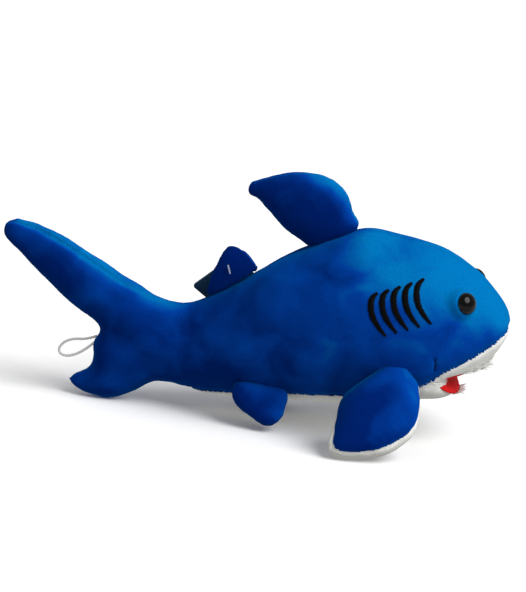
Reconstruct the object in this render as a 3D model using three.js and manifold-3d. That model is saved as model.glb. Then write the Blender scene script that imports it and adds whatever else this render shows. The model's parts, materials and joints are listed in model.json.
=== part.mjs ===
// Plush shark: blue back, white belly, stuffed fins and a forked tail, standing on its side fins and tail.
// Millimetres, +X towards the snout, +Y to the shark's own left, +Z up, floor at Z = 0.
// X is counted from the heel of the tail's lower lobe; ORIGIN_X moves the finished toy over its middle.
import * as THREE from "three";
import { ParametricGeometry } from "three/addons/geometries/ParametricGeometry.js";
import { mergeVertices } from "three/addons/utils/BufferGeometryUtils.js";
import Module from "manifold-3d";

const wasm = await Module();
wasm.setup();

// ---------------------------------------------------------------- driving dimensions
const ORIGIN_X = 99; // middle of the toy's length, counted from the heel of the tail
const CLOTH = 1.6; // short-pile fabric with its backing
const GAP = 0.3; // clearance between pieces that touch
const FELT = 1.0; // teeth and mouth lining
const FAR = 320; // longer than the toy, for cutting tools

const HEAD_X = 190; // widest section, where the head begins
const HEAD_LENGTH = 90; // from the widest section to the snout's tip
const HEAD_HALF_HEIGHT = 60.2;
const HEAD_HALF_WIDTH = 56.5;
const HEAD_CENTRE_Z = 82.5;
const SNOUT_RISE = 5; // how much higher the snout's axis ends

const TAIL_JOINT_X = 45;
const TAIL_JOINT_HALF_ANGLE = THREE.MathUtils.degToRad(13.5); // each side of the wedge that lets it bend

const THROAT = [226, 46.5]; // back of the mouth, as X and Z
const PALATE_FRONT = [290, 60.5];
const JAW_FRONT = [256, 41];
const MOUTH_CORNER_X = 234;
const SNOUT_BACK_Z = 46.8; // lower edge of the strip under the snout, at the corner of the mouth
const SNOUT_FRONT = [300, 52]; // and beyond the snout's tip
// Teeth: each strip stands on an arc in plan, and its teeth are longest in the middle.
const UPPER_TEETH = { teeth: 9, at: 234, half: [24, 32], spread: 70, least: 1.5, more: 5 };
const LOWER_TEETH = { teeth: 7, at: 222, half: [25.5, 33], spread: 52, least: -0.8, more: 4 };
const JAW = { at: [222, 0, 44], half: [29, 37, 15] };

const EYE = { at: [251, -35.2, 108], axis: [0.62, -0.7, 0.35], radius: 8, dome: 5.2, shank: 2, depth: 14 };
const WASHER = { radius: 7, thick: 1.5, depth: 6 };

const GILLS = 5;
const GILL_STEP = [7.6, 2.8]; // from one gill to the next in front, as X and Z
const GILL_ARC = [[189, 114], [185.6, 108.5], [185, 102], [187.2, 95], [192.4, 88.5], [199, 83]];
const GILL_WIDTH = [1.2, 2.8, 3.4, 3.3, 2.5, 1.0];

const CARD = { width: 28, height: 38, thick: 0.8, corner: 3, margin: 4.5, hole: 2.2 };
const PIN = { at: [79, 0, 104.7], radius: 0.4, near: -7.2, far: 20.5, card: 14 };
const PIN_BAR = { half: 3.4, radius: 0.6, along: [-0.35, 0, 1] }; // the cross bar on the fin's right face
const PIN_PADDLE = { half: 4, radius: 0.9, along: [1, 0, 0] }; // the paddle that holds the card
const CARD_TURN = 33; // degrees in its own plane, so that it hangs from one corner
const CARD_NORMAL = [-0.4, 1, 0.52]; // the card leans on the flank

const CORD_DIAMETER = 1.9;

const BLUE = new THREE.Color("#0b4fa0");
const WHITE = new THREE.Color("#dcdcd6");
const RED = new THREE.Color("#c00a10");
const FILLING = new THREE.Color("#f2f2ee");
const BLACK = new THREE.Color("#08080a");

// Torso sections from the tail stock to the widest one: X, axis height, half height, half width.
const TORSO = [
  [20, 46, 28, 15],
  [45, 46.2, 28.7, 17],
  [62, 46.8, 32.8, 21.5],
  [84, 53.5, 40.6, 31],
  [110, 64, 49.6, 42],
  [140, 74, 57.5, 51],
  [170, 81.2, 62.2, 56],
  [HEAD_X, HEAD_CENTRE_Z, HEAD_HALF_HEIGHT, HEAD_HALF_WIDTH],
];
const HEAD_STOPS = [0.3, 0.55, 0.75, 0.89, 0.97, 1]; // shares of the head's length

// Where the blue panels meet the white ones, seen from the side, as X and Z.
const SEAM = [
  [20, -6], [50, 10], [58, 14.6], [72, 16.5], [90, 20.5], [133, 28], [170, 31], [200, 37],
  [223, 45.5], [238, 58], [258, 70.7], [272, 80], [292, 96],
];

// ---------------------------------------------------------------- solids and cuts
/** A closed solid from any closed three.js geometry. */
function solidOf(geometry) {
  const bare = geometry.index ? geometry.clone() : mergeVertices(geometry);
  bare.deleteAttribute("normal");
  bare.deleteAttribute("uv");
  const merged = mergeVertices(bare, 1e-4);
  const corners = merged.index.array;
  const triangles = [];
  for (let i = 0; i < corners.length; i += 3) {
    const [a, b, c] = [corners[i], corners[i + 1], corners[i + 2]];
    if (a !== b && b !== c && c !== a) triangles.push(a, b, c);
  }
  const vertProperties = new Float32Array(merged.attributes.position.array);
  const triVerts = new Uint32Array(triangles);
  return new wasm.Manifold(new wasm.Mesh({ numProp: 3, vertProperties, triVerts }));
}

/** The three.js geometry of a solid. */
function geometryOf(solid) {
  const { vertProperties, triVerts } = solid.getMesh();
  const geometry = new THREE.BufferGeometry();
  geometry.setAttribute("position", new THREE.BufferAttribute(new Float32Array(vertProperties), 3));
  geometry.setIndex(new THREE.BufferAttribute(new Uint32Array(triVerts), 1));
  geometry.computeVertexNormals();
  return geometry;
}

/** Turns every face of a geometry over, in place. */
function flip(geometry) {
  const corners = geometry.index.array;
  for (let i = 0; i < corners.length; i += 3) {
    [corners[i], corners[i + 1]] = [corners[i + 1], corners[i]];
  }
  geometry.computeVertexNormals();
  return geometry;
}

/** The same geometry on the other side of the toy, still facing out. */
function mirrored(geometry) {
  return flip(geometry.clone().scale(1, -1, 1));
}

/** A solid from a closed geometry whose faces may all point in. */
function facingOut(geometry) {
  const solid = solidOf(geometry);
  return solid.volume() > 0 ? solid : solidOf(flip(geometry));
}

/** An outline drawn from the side, X and Z, pushed through the toy from y = from to y = to. */
function sidePrism(points, from = -FAR, to = FAR) {
  const shape = new THREE.Shape(points.map(([x, z]) => new THREE.Vector2(x, z)));
  const geometry = new THREE.ExtrudeGeometry(shape, { depth: to - from, bevelEnabled: false });
  geometry.rotateX(Math.PI / 2);
  geometry.translate(0, to, 0);
  return solidOf(geometry);
}

/** An outline drawn from above, X and Y, pushed through the toy. */
function planPrism(points) {
  const shape = new THREE.Shape(points.map(([x, y]) => new THREE.Vector2(x, y)));
  const geometry = new THREE.ExtrudeGeometry(shape, { depth: 2 * FAR, bevelEnabled: false });
  geometry.translate(0, 0, -FAR);
  return solidOf(geometry);
}

/** A round bar from one point along a direction. */
function bar(from, direction, radius, length, sides = 12) {
  const geometry = new THREE.CylinderGeometry(radius, radius, length, sides);
  geometry.translate(0, length / 2, 0);
  const up = new THREE.Vector3(0, 1, 0);
  geometry.applyQuaternion(new THREE.Quaternion().setFromUnitVectors(up, direction.clone().normalize()));
  geometry.translate(from.x, from.y, from.z);
  return geometry;
}

/**
 * A stuffed form through oval sections. Each station is { at, chord, thick }: its centre, half its long
 * side as a vector, and half its thickness along side. Both ends close to a point. grow moves the whole
 * surface out, or in where it is negative.
 */
function stuffed(stations, side, { sides, steps, grow = 0 }) {
  const curve = (values) => new THREE.CatmullRomCurve3(values, false, "catmullrom", 0.5);
  const centres = curve(stations.map((s) => new THREE.Vector3(...s.at)));
  const chords = curve(stations.map((s) => new THREE.Vector3(...s.chord)));
  const thicks = curve(stations.map((s) => new THREE.Vector3(s.thick, 0, 0)));
  const trim = Math.max(-grow, 0) / centres.getLength();
  const start = centres.getUtoTmapping(trim);
  const end = centres.getUtoTmapping(1 - trim);
  const across = new THREE.Vector3(...side).normalize();
  const place = (u, v, target) => {
    const t = THREE.MathUtils.lerp(start, end, v);
    const centre = centres.getPoint(t);
    if (v === 0 || v === 1) {
      const outward = centres.getTangent(v).multiplyScalar(v === 0 ? -1 : 1);
      target.copy(centre).addScaledVector(outward, Math.max(grow, 0));
      return;
    }
    const chord = chords.getPoint(t);
    const least = 0.5 + grow / 4;
    const longSide = Math.max(chord.length() + grow, least);
    const shortSide = Math.max(thicks.getPoint(t).x + grow, least);
    const angle = u * 2 * Math.PI;
    target.copy(centre);
    target.addScaledVector(chord.normalize(), longSide * Math.cos(angle));
    target.addScaledVector(across, shortSide * Math.sin(angle));
  };
  return facingOut(new ParametricGeometry(place, sides, steps));
}

/** A zigzag felt strip that stands on a curve: at(s) is its foot, up(s) its height vector, s from 0 to 1. */
function felt(teeth, at, up) {
  const steps = 2 * teeth;
  const place = (u, v, target) => {
    const corner = Math.round(u * 4) % 4; // outer foot, outer tip, inner tip, inner foot
    const step = Math.round(v * steps);
    target.copy(at(v));
    if (step === 0 || step === steps) return;
    const inward = new THREE.Vector3(target.x - JAW.at[0], target.y, 0).normalize().multiplyScalar(-FELT);
    if (corner === 1 || corner === 2) target.addScaledVector(up(v), step % 2 ? 1 : 0.35);
    if (corner >= 2) target.add(inward);
  };
  return facingOut(new ParametricGeometry(place, 4, steps));
}

const toy = new THREE.Group();

/** Adds a piece to the toy as a named mesh. */
function addPiece(name, geometry, color, roughness = 0.95, metalness = 0) {
  const mesh = new THREE.Mesh(geometry, new THREE.MeshStandardMaterial({ color, roughness, metalness }));
  mesh.name = name;
  toy.add(mesh);
}

// ---------------------------------------------------------------- torso and head
const torsoStations = TORSO.map(([x, z, high, wide]) => ({ at: [x, 0, z], chord: [0, 0, high], thick: wide }));
for (const s of HEAD_STOPS) {
  const left = 1 - s * s;
  torsoStations.push({
    at: [HEAD_X + HEAD_LENGTH * s, 0, HEAD_CENTRE_Z + SNOUT_RISE * s * s],
    chord: [0, 0, HEAD_HALF_HEIGHT * left ** 0.6],
    thick: HEAD_HALF_WIDTH * left ** 0.5,
  });
}

const torsoForm = (grow) => stuffed(torsoStations, [0, 1, 0], { sides: 18, steps: 20, grow });

/** The chin's rounded form, moved in by inset. */
function jawForm(inset) {
  const geometry = new THREE.SphereGeometry(1, 14, 8);
  geometry.rotateX(Math.PI / 2);
  geometry.scale(...JAW.half.map((half) => half - inset));
  geometry.translate(...JAW.at);
  return solidOf(geometry);
}

/** Everything below the palate in front of the throat, with the palate raised by lift. */
function underPalate(lift) {
  const back = THROAT[0] - Math.max(lift, 0);
  return sidePrism([[back, THROAT[1] + lift], [PALATE_FRONT[0], PALATE_FRONT[1] + lift], [PALATE_FRONT[0], -40],
    [back, -40]]);
}

/** Everything below the top of the chin, lowered by drop. */
function underJawTop(drop) {
  return sidePrism([[200, THROAT[1] - drop], [THROAT[0], THROAT[1] - drop], [JAW_FRONT[0], JAW_FRONT[1] - drop],
    [JAW_FRONT[0], -40], [200, -40]]);
}

/** Head and torso with the mouth cut and the chin added; inset is how far inside the fabric it lies. */
function torsoWithMouth(inset, mouthInset) {
  const upper = torsoForm(-inset).subtract(underPalate(mouthInset));
  return upper.add(jawForm(inset).intersect(underJawTop(mouthInset)));
}

/** The wedge of space that lets the tail bend, as the half that belongs to the torso or to the tail. */
function tailJointSide(direction) {
  const tip = TAIL_JOINT_X + direction * 0.6;
  const far = tip + direction * FAR * Math.tan(TAIL_JOINT_HALF_ANGLE);
  const end = TAIL_JOINT_X + direction * FAR * 2;
  return planPrism([[tip, 0], [far, FAR], [end, FAR], [end, -FAR], [far, -FAR]]);
}

/** The part of a side view above or below the blue and white seam. */
function besideSeam(above) {
  const shift = above ? GAP / 2 : -GAP / 2;
  const far = above ? FAR : -FAR;
  const line = SEAM.map(([x, z]) => [x, z + shift]);
  return sidePrism([...line, [SEAM.at(-1)[0], far], [SEAM[0][0], far]]);
}

const eyeAxis = new THREE.Vector3(...EYE.axis).normalize();
const eyeSeat = new THREE.Vector3(...EYE.at).addScaledVector(eyeAxis, 1.6);

/** A hole along the eye's shank, from outside the head to a depth, on the right or the left. */
function eyeHole(radius, depth, left) {
  const start = eyeSeat.clone().addScaledVector(eyeAxis, 20);
  const geometry = bar(start, eyeAxis.clone().negate(), radius, depth + 20);
  return solidOf(left ? mirrored(geometry) : geometry);
}

const rightHalf = sidePrism([[-FAR, -FAR], [FAR, -FAR], [FAR, FAR], [-FAR, FAR]], -FAR, -GAP / 2);
const leftHalf = sidePrism([[-FAR, -FAR], [FAR, -FAR], [FAR, FAR], [-FAR, FAR]], GAP / 2, FAR);

const torsoSkin = torsoWithMouth(0, 0)
  .subtract(torsoWithMouth(CLOTH, -2))
  .intersect(tailJointSide(1));
const blueSkin = torsoSkin
  .intersect(besideSeam(true))
  .subtract(eyeHole(EYE.shank + GAP, EYE.depth, false))
  .subtract(eyeHole(EYE.shank + GAP, EYE.depth, true));
const whiteSkin = torsoSkin.intersect(besideSeam(false));
const snoutSide = (x) => sidePrism([[x, SNOUT_BACK_Z], SNOUT_FRONT, [SNOUT_FRONT[0], FAR], [x, FAR]]);

addPiece("side_panel_right", geometryOf(blueSkin.intersect(rightHalf)), BLUE);
addPiece("side_panel_left", geometryOf(blueSkin.intersect(leftHalf)), BLUE);
addPiece("belly_panel", geometryOf(whiteSkin.subtract(snoutSide(MOUTH_CORNER_X - GAP))), WHITE);
addPiece("snout_underside_panel", geometryOf(whiteSkin.intersect(snoutSide(MOUTH_CORNER_X))), WHITE);

const insideCloth = CLOTH + GAP;
const mouthFront = sidePrism([[THROAT[0] + 2, -40], [300, -40], [300, 140], [THROAT[0] + 2, 140]]);
const palateLining = torsoForm(-insideCloth)
  .intersect(underPalate(FELT))
  .subtract(underPalate(0))
  .intersect(mouthFront);
const tongueLining = jawForm(insideCloth)
  .intersect(underJawTop(0))
  .subtract(underJawTop(FELT))
  .intersect(mouthFront);
addPiece("palate_lining", geometryOf(palateLining), RED);
addPiece("tongue_lining", geometryOf(tongueLining), RED);

const filling = torsoWithMouth(insideCloth, FELT + GAP)
  .intersect(tailJointSide(1))
  .subtract(eyeHole(EYE.shank + GAP, EYE.depth + GAP, false))
  .subtract(eyeHole(EYE.shank + GAP, EYE.depth + GAP, true))
  .subtract(eyeHole(WASHER.radius + GAP, WASHER.depth + WASHER.thick + GAP, false))
  .subtract(eyeHole(WASHER.radius + GAP, WASHER.depth + WASHER.thick + GAP, true));
addPiece("body_stuffing", geometryOf(filling), FILLING);

/**
 * A strip of teeth on the mouth's rim, which is an arc in plan and lies in the plane from the throat to
 * front. The teeth point down where direction is -1 and up where it is 1.
 */
function teethOnRim({ teeth, at, half, spread, least, more }, front, direction) {
  const slope = (front[1] - THROAT[1]) / (front[0] - THROAT[0]);
  const angle = (s) => THREE.MathUtils.degToRad(spread * (2 * s - 1));
  const foot = (s) => {
    const x = at + half[0] * Math.cos(angle(s));
    const z = THROAT[1] + (x - THROAT[0]) * slope + direction * GAP;
    return new THREE.Vector3(x, half[1] * Math.sin(angle(s)), z);
  };
  const up = (s) => new THREE.Vector3(0, 0, direction * (least + more * Math.cos(angle(s))));
  return geometryOf(felt(teeth, foot, up));
}
addPiece("upper_teeth_strip", teethOnRim(UPPER_TEETH, PALATE_FRONT, -1), WHITE);
addPiece("lower_teeth_strip", teethOnRim(LOWER_TEETH, JAW_FRONT, 1), WHITE);

// ---------------------------------------------------------------- eyes and gill stitching
const eyeProfile = [];
for (let i = 0; i <= 5; i += 1) {
  const angle = (i / 5) * (Math.PI / 2);
  eyeProfile.push(new THREE.Vector2(EYE.radius * Math.sin(angle), EYE.dome * Math.cos(angle)));
}
eyeProfile.push(new THREE.Vector2(EYE.shank, 0), new THREE.Vector2(EYE.shank, -EYE.depth));
eyeProfile.push(new THREE.Vector2(0, -EYE.depth));
const eyeTurn = new THREE.Quaternion().setFromUnitVectors(new THREE.Vector3(0, 1, 0), eyeAxis);

/** Turns a piece drawn on the Y axis onto the right eye's seat. */
function onEyeSeat(geometry) {
  geometry.applyQuaternion(eyeTurn);
  geometry.translate(eyeSeat.x, eyeSeat.y, eyeSeat.z);
  return geometry;
}
const eyeBall = solidOf(onEyeSeat(new THREE.LatheGeometry(eyeProfile.reverse(), 12)));
addPiece("eye_right", geometryOf(eyeBall), BLACK, 0.08);
addPiece("eye_left", mirrored(geometryOf(eyeBall)), BLACK, 0.08);

const washerHole = EYE.shank + GAP;
const washerTop = -WASHER.depth;
const washerProfile = [
  new THREE.Vector2(washerHole, washerTop - WASHER.thick),
  new THREE.Vector2(WASHER.radius, washerTop - WASHER.thick),
  new THREE.Vector2(WASHER.radius, washerTop),
  new THREE.Vector2(washerHole, washerTop),
  new THREE.Vector2(washerHole, washerTop - WASHER.thick),
];
const washer = solidOf(onEyeSeat(new THREE.LatheGeometry(washerProfile, 12)));
addPiece("eye_washer_right", geometryOf(washer), WHITE, 0.4);
addPiece("eye_washer_left", mirrored(geometryOf(washer)), WHITE, 0.4);

const threadLayer = torsoForm(GAP + 0.8).subtract(torsoForm(GAP));
for (let i = 0; i < GILLS; i += 1) {
  const shift = ([x, z]) => [x + i * GILL_STEP[0], z + i * GILL_STEP[1]];
  const backEdge = GILL_ARC.map(shift);
  const frontEdge = backEdge.map(([x, z], j) => [x + GILL_WIDTH[j], z + 0.3 * GILL_WIDTH[j]]).reverse();
  const gill = geometryOf(threadLayer.intersect(sidePrism([...backEdge, ...frontEdge], -FAR, 0)));
  addPiece(`gill_stitch_right_${i + 1}`, gill, BLACK, 0.5);
  addPiece(`gill_stitch_left_${i + 1}`, mirrored(gill), BLACK, 0.5);
}

// ---------------------------------------------------------------- fins
/** A fin of two sewn panels over its filling. cut, when given, trims all three. */
function finPieces(stations, side, detail, cut = null) {
  const form = (grow) => stuffed(stations, side, { ...detail, grow });
  const trim = (solid) => (cut ? cut(solid) : solid);
  return {
    skin: trim(form(0).subtract(form(-CLOTH))),
    filling: trim(form(-insideCloth)),
  };
}

const chordOf = (half, angle) => {
  const turn = THREE.MathUtils.degToRad(angle);
  return [half * Math.cos(turn), 0, half * Math.sin(turn)];
};

// Dorsal fin: swept back from a narrow root line on the ridge of the back.
const dorsal = finPieces([
  { at: [149.6, 0, 138.2], chord: chordOf(18, 27), thick: 0.8 },
  { at: [149, 0, 139.8], chord: chordOf(20, 27), thick: 2.2 },
  { at: [143, 0, 149], chord: chordOf(24.5, 28), thick: 11 },
  { at: [134, 0, 156], chord: chordOf(25, 35), thick: 12.5 },
  { at: [119, 0, 163], chord: chordOf(22, 46), thick: 11 },
  { at: [103, 0, 166], chord: chordOf(13, 52), thick: 8 },
  { at: [92, 0, 165], chord: chordOf(5.5, 60), thick: 5 },
  { at: [86.5, 0, 162.5], chord: chordOf(1.5, 80), thick: 1.5 },
], [0, 1, 0], { sides: 12, steps: 10 });
addPiece("dorsal_fin_panel_right", geometryOf(dorsal.skin.intersect(rightHalf)), BLUE);
addPiece("dorsal_fin_panel_left", geometryOf(dorsal.skin.intersect(leftHalf)), BLUE);
addPiece("dorsal_fin_stuffing", geometryOf(dorsal.filling), FILLING);

// Small rear fin, with the tag's pin through it.
const pinHole = solidOf(bar(new THREE.Vector3(PIN.at[0], -30, PIN.at[2]), new THREE.Vector3(0, 1, 0),
  PIN.radius + GAP, 60, 8));
const rear = finPieces([
  { at: [84, 0, 97.4], chord: chordOf(17, 37), thick: 0.7 },
  { at: [83.6, 0, 98.6], chord: chordOf(18.5, 37.5), thick: 1.6 },
  { at: [82.5, 0, 103], chord: chordOf(16.5, 40), thick: 5.2 },
  { at: [80.5, 0, 111], chord: chordOf(11.5, 42), thick: 5 },
  { at: [78.6, 0, 117.5], chord: chordOf(5, 42), thick: 3.2 },
  { at: [77.8, 0, 120], chord: chordOf(1.5, 42), thick: 1 },
], [0, 1, 0], { sides: 10, steps: 6 }, (solid) => solid.subtract(pinHole));
addPiece("rear_fin_panel_right", geometryOf(rear.skin.intersect(rightHalf)), BLUE);
addPiece("rear_fin_panel_left", geometryOf(rear.skin.intersect(leftHalf)), BLUE);
addPiece("rear_fin_stuffing", geometryOf(rear.filling), FILLING);

/**
 * A fin that hangs out from the right side. root is its root line's middle, slope its angle below level,
 * and each section gives how far out it lies, its middle along X, half chord and half thickness.
 */
function sideFin(root, slope, sections) {
  const turn = THREE.MathUtils.degToRad(slope);
  const stations = sections.map(([out, x, half, thick]) => ({
    at: [x, root[0] - out * Math.cos(turn), root[1] - out * Math.sin(turn)],
    chord: [half, 0, 0],
    thick,
  }));
  return { stations, up: [0, -Math.sin(turn), Math.cos(turn)] };
}

/** The half of space on the upper or outer side of a side fin's middle plane. */
function finFace(root, slope, upper) {
  const turn = THREE.MathUtils.degToRad(slope);
  const box = new THREE.BoxGeometry(2 * FAR, 2 * FAR, FAR);
  box.translate(0, 0, (upper ? 1 : -1) * (FAR / 2 + GAP / 2));
  box.rotateX(turn);
  box.translate(0, root[0], root[1]);
  return solidOf(box);
}

const aboveFloor = sidePrism([[-FAR, 0], [FAR, 0], [FAR, FAR], [-FAR, FAR]]);

/** Adds one side fin's three pieces on the right and their twins on the left. */
function addSideFins(name, root, slope, sections, detail, faces) {
  const { stations, up } = sideFin(root, slope, sections);
  const fin = finPieces(stations, up, detail, (solid) => solid.intersect(aboveFloor));
  const pieces = [
    [faces[0].name, fin.skin.intersect(finFace(root, slope, true)), faces[0].color],
    [faces[1].name, fin.skin.intersect(finFace(root, slope, false)), faces[1].color],
    ["stuffing", fin.filling, FILLING],
  ];
  for (const [face, solid, color] of pieces) {
    const geometry = geometryOf(solid);
    addPiece(`${name}_right_${face}`, geometry, color);
    addPiece(`${name}_left_${face}`, mirrored(geometry), color);
  }
}

addSideFins("pectoral_fin", [-48.5, 48.0], 45, [
  [-0.5, 203, 17, 0.8],
  [1.5, 203, 20, 2.4],
  [12, 202, 23, 12],
  [26, 200.5, 27.5, 14.5],
  [41, 199, 27, 13.5],
  [53, 194, 22, 10.5],
  [61, 187, 14, 7],
  [65, 181, 6, 4],
  [66.5, 178, 1.5, 1.2],
], { sides: 12, steps: 10 }, [{ name: "top_panel", color: BLUE }, { name: "underside_panel", color: WHITE }]);

addSideFins("pelvic_fin", [-31, 23.5], 62, [
  [-0.5, 110.5, 15, 0.6],
  [0.8, 110.5, 20, 1.2],
  [7, 112, 20, 5],
  [14, 115, 15.5, 5],
  [20, 119, 9, 3.5],
  [24, 120.5, 3, 1.4],
], { sides: 10, steps: 6 }, [{ name: "outer_panel", color: BLUE }, { name: "inner_panel", color: BLUE }]);

// ---------------------------------------------------------------- tail
const UPPER_LOBE_ANGLE = 62;
const upperLobe = [
  { at: [64, 0, 47], chord: chordOf(33, 90), thick: 22 },
  { at: [TAIL_JOINT_X, 0, 46.2], chord: chordOf(28.7, 90), thick: 17 },
  { at: [27, 0, 48.5], chord: chordOf(30, 86), thick: 15 },
  { at: [9, 0, 62], chord: chordOf(24, 74), thick: 13 },
  { at: [-4, 0, 72], chord: chordOf(19.5, UPPER_LOBE_ANGLE), thick: 12 },
  { at: [-19, 0, 80.5], chord: chordOf(19.5, UPPER_LOBE_ANGLE), thick: 11.5 },
  { at: [-50, 0, 100.6], chord: chordOf(16, UPPER_LOBE_ANGLE), thick: 9.5 },
  { at: [-68, 0, 110.5], chord: chordOf(11, UPPER_LOBE_ANGLE), thick: 8 },
  { at: [-77, 0, 114.5], chord: chordOf(6.5, UPPER_LOBE_ANGLE), thick: 5.5 },
  { at: [-82, 0, 117], chord: chordOf(1.5, UPPER_LOBE_ANGLE), thick: 1.5 },
];
const lowerLobe = [
  { at: [36, 0, 46], chord: chordOf(14, 110), thick: 9 },
  { at: [24, 0, 40], chord: chordOf(24, 115), thick: 13.5 },
  { at: [7, 0, 25.5], chord: chordOf(22, 138), thick: 13 },
  { at: [-2.5, 0, 13.2], chord: chordOf(15.5, 126), thick: 11 },
  { at: [-13, 0, 9.3], chord: chordOf(9.8, 112), thick: 8.5 },
  { at: [-22, 0, 9.6], chord: chordOf(6, 98), thick: 5.5 },
  { at: [-28, 0, 9.6], chord: chordOf(1.5, 90), thick: 1.5 },
];
const tailForm = (grow) => stuffed(upperLobe, [0, 1, 0], { sides: 12, steps: 12, grow })
  .add(stuffed(lowerLobe, [0, 1, 0], { sides: 12, steps: 7, grow }))
  .intersect(aboveFloor);
const tailSkin = tailForm(0).subtract(tailForm(-CLOTH)).intersect(tailJointSide(-1));
addPiece("tail_panel_right", geometryOf(tailSkin.intersect(rightHalf)), BLUE);
addPiece("tail_panel_left", geometryOf(tailSkin.intersect(leftHalf)), BLUE);
addPiece("tail_stuffing", geometryOf(tailForm(-insideCloth).intersect(tailJointSide(-1))), FILLING);

// ---------------------------------------------------------------- tag, its pin and the hanging loop
/** The blank card, drawn with its hole at the origin. */
function cardGeometry() {
  const right = CARD.margin;
  const left = right - CARD.width;
  const top = CARD.margin;
  const bottom = top - CARD.height;
  const shape = new THREE.Shape();
  const corners = [[right, top, 0], [left, top, 90], [left, bottom, 180], [right, bottom, 270]];
  for (const [x, y, start] of corners) {
    const from = THREE.MathUtils.degToRad(start);
    const cx = x - Math.sign(x - (left + right) / 2) * CARD.corner;
    const cy = y - Math.sign(y - (top + bottom) / 2) * CARD.corner;
    shape.absarc(cx, cy, CARD.corner, from, from + Math.PI / 2);
  }
  shape.holes.push(new THREE.Path().absarc(0, 0, CARD.hole, 0, 2 * Math.PI, true));
  const geometry = new THREE.ExtrudeGeometry(shape, { depth: CARD.thick, bevelEnabled: false, curveSegments: 3 });
  geometry.rotateZ(THREE.MathUtils.degToRad(CARD_TURN));
  // X along the toy, Y up the card and Z out of it, turned to lean on the shark's left flank
  const out = new THREE.Vector3(...CARD_NORMAL).normalize();
  const up = new THREE.Vector3(0, 0, 1).addScaledVector(out, -out.z).normalize();
  const along = new THREE.Vector3().crossVectors(up, out);
  geometry.applyMatrix4(new THREE.Matrix4().makeBasis(along, up, out));
  geometry.translate(PIN.at[0], PIN.card, PIN.at[2]);
  return geometry;
}
addPiece("hang_tag", geometryOf(solidOf(cardGeometry())), new THREE.Color("#22465a"), 0.6);

const yAxis = new THREE.Vector3(0, 1, 0);
const pinEnd = (y, { half, radius, along }) => {
  const direction = new THREE.Vector3(...along).normalize();
  const start = new THREE.Vector3(PIN.at[0], y, PIN.at[2]).addScaledVector(direction, -half);
  return solidOf(bar(start, direction, radius, 2 * half, 8));
};
const pin = solidOf(bar(new THREE.Vector3(PIN.at[0], PIN.near, PIN.at[2]), yAxis, PIN.radius, PIN.far - PIN.near, 8))
  .add(pinEnd(PIN.near, PIN_BAR))
  .add(pinEnd(PIN.far, PIN_PADDLE));
addPiece("tag_pin", geometryOf(pin), WHITE, 0.3);

// Hanging loop, sewn by both ends into the seam inside the tail's fork.
const LOOP = [
  [-10.4, 0.8, 43.4], [-13, 0.9, 42.2], [-16.5, 1, 40.9], [-20, 1.1, 40], [-23.5, 1.2, 39.6], [-27, 1.1, 39],
  [-30.4, 0.9, 37.8], [-33.2, 0.6, 36], [-35.2, 0.3, 33.6], [-36.2, 0, 30.9], [-35.4, -0.3, 28.5],
  [-32.9, -0.6, 27.2], [-29.8, -0.8, 27.1], [-26.4, -1, 28], [-23, -1.1, 29.6], [-19.7, -1.2, 31.8],
  [-16.6, -1.2, 34.3], [-13.8, -1.1, 36.9], [-11.6, -1, 39.1],
];
const section = new THREE.Shape();
section.absarc(0, 0, CORD_DIAMETER / 2, 0, 2 * Math.PI);
const loopCurve = new THREE.CatmullRomCurve3(LOOP.map((point) => new THREE.Vector3(...point)), false, "centripetal");
const loop = new THREE.ExtrudeGeometry(section, { steps: 28, curveSegments: 4, extrudePath: loopCurve });
addPiece("hanging_loop", geometryOf(solidOf(loop)), WHITE, 0.6);

toy.position.x = -ORIGIN_X;
export default toy;
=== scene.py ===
"""Plush shark: stuffed velour skins, felt teeth, stitched gills, safety eyes, a card tag and a cord loop."""

import json
import logging
import math
from dataclasses import dataclass, field
from enum import Enum
from operator import itemgetter
from typing import Callable, Iterable, Sequence

import bmesh
import bpy
import numpy as np
from mathutils import Matrix, Vector, noise
from mathutils.bvhtree import BVHTree

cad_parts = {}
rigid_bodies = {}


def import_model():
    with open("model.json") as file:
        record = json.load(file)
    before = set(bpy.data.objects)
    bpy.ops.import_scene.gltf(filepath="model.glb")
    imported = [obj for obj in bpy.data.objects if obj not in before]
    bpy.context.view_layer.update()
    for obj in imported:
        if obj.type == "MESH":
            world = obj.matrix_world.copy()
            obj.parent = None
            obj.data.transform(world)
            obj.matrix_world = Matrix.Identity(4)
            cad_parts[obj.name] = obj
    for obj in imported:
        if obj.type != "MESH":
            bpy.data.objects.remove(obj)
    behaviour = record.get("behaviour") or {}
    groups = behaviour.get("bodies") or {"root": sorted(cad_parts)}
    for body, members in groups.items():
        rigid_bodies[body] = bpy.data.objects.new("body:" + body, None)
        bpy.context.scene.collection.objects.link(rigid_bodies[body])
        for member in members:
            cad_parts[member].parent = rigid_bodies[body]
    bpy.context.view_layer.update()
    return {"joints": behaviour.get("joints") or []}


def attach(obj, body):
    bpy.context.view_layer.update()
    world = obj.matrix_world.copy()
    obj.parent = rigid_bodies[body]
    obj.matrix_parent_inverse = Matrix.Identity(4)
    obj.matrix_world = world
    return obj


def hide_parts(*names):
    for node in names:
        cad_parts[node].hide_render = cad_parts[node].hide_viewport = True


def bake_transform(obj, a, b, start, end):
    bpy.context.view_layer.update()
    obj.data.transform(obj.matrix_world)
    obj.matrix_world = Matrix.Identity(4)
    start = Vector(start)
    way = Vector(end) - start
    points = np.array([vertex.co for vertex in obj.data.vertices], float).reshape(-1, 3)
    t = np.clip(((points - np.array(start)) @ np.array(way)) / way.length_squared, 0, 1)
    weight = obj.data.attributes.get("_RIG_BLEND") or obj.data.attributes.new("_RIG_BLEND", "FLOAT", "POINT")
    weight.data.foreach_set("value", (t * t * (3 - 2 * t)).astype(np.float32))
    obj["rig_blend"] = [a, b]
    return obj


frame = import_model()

log = logging.getLogger("plush_shark")
logging.basicConfig(level=logging.INFO, format="%(name)s: %(message)s")

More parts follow.
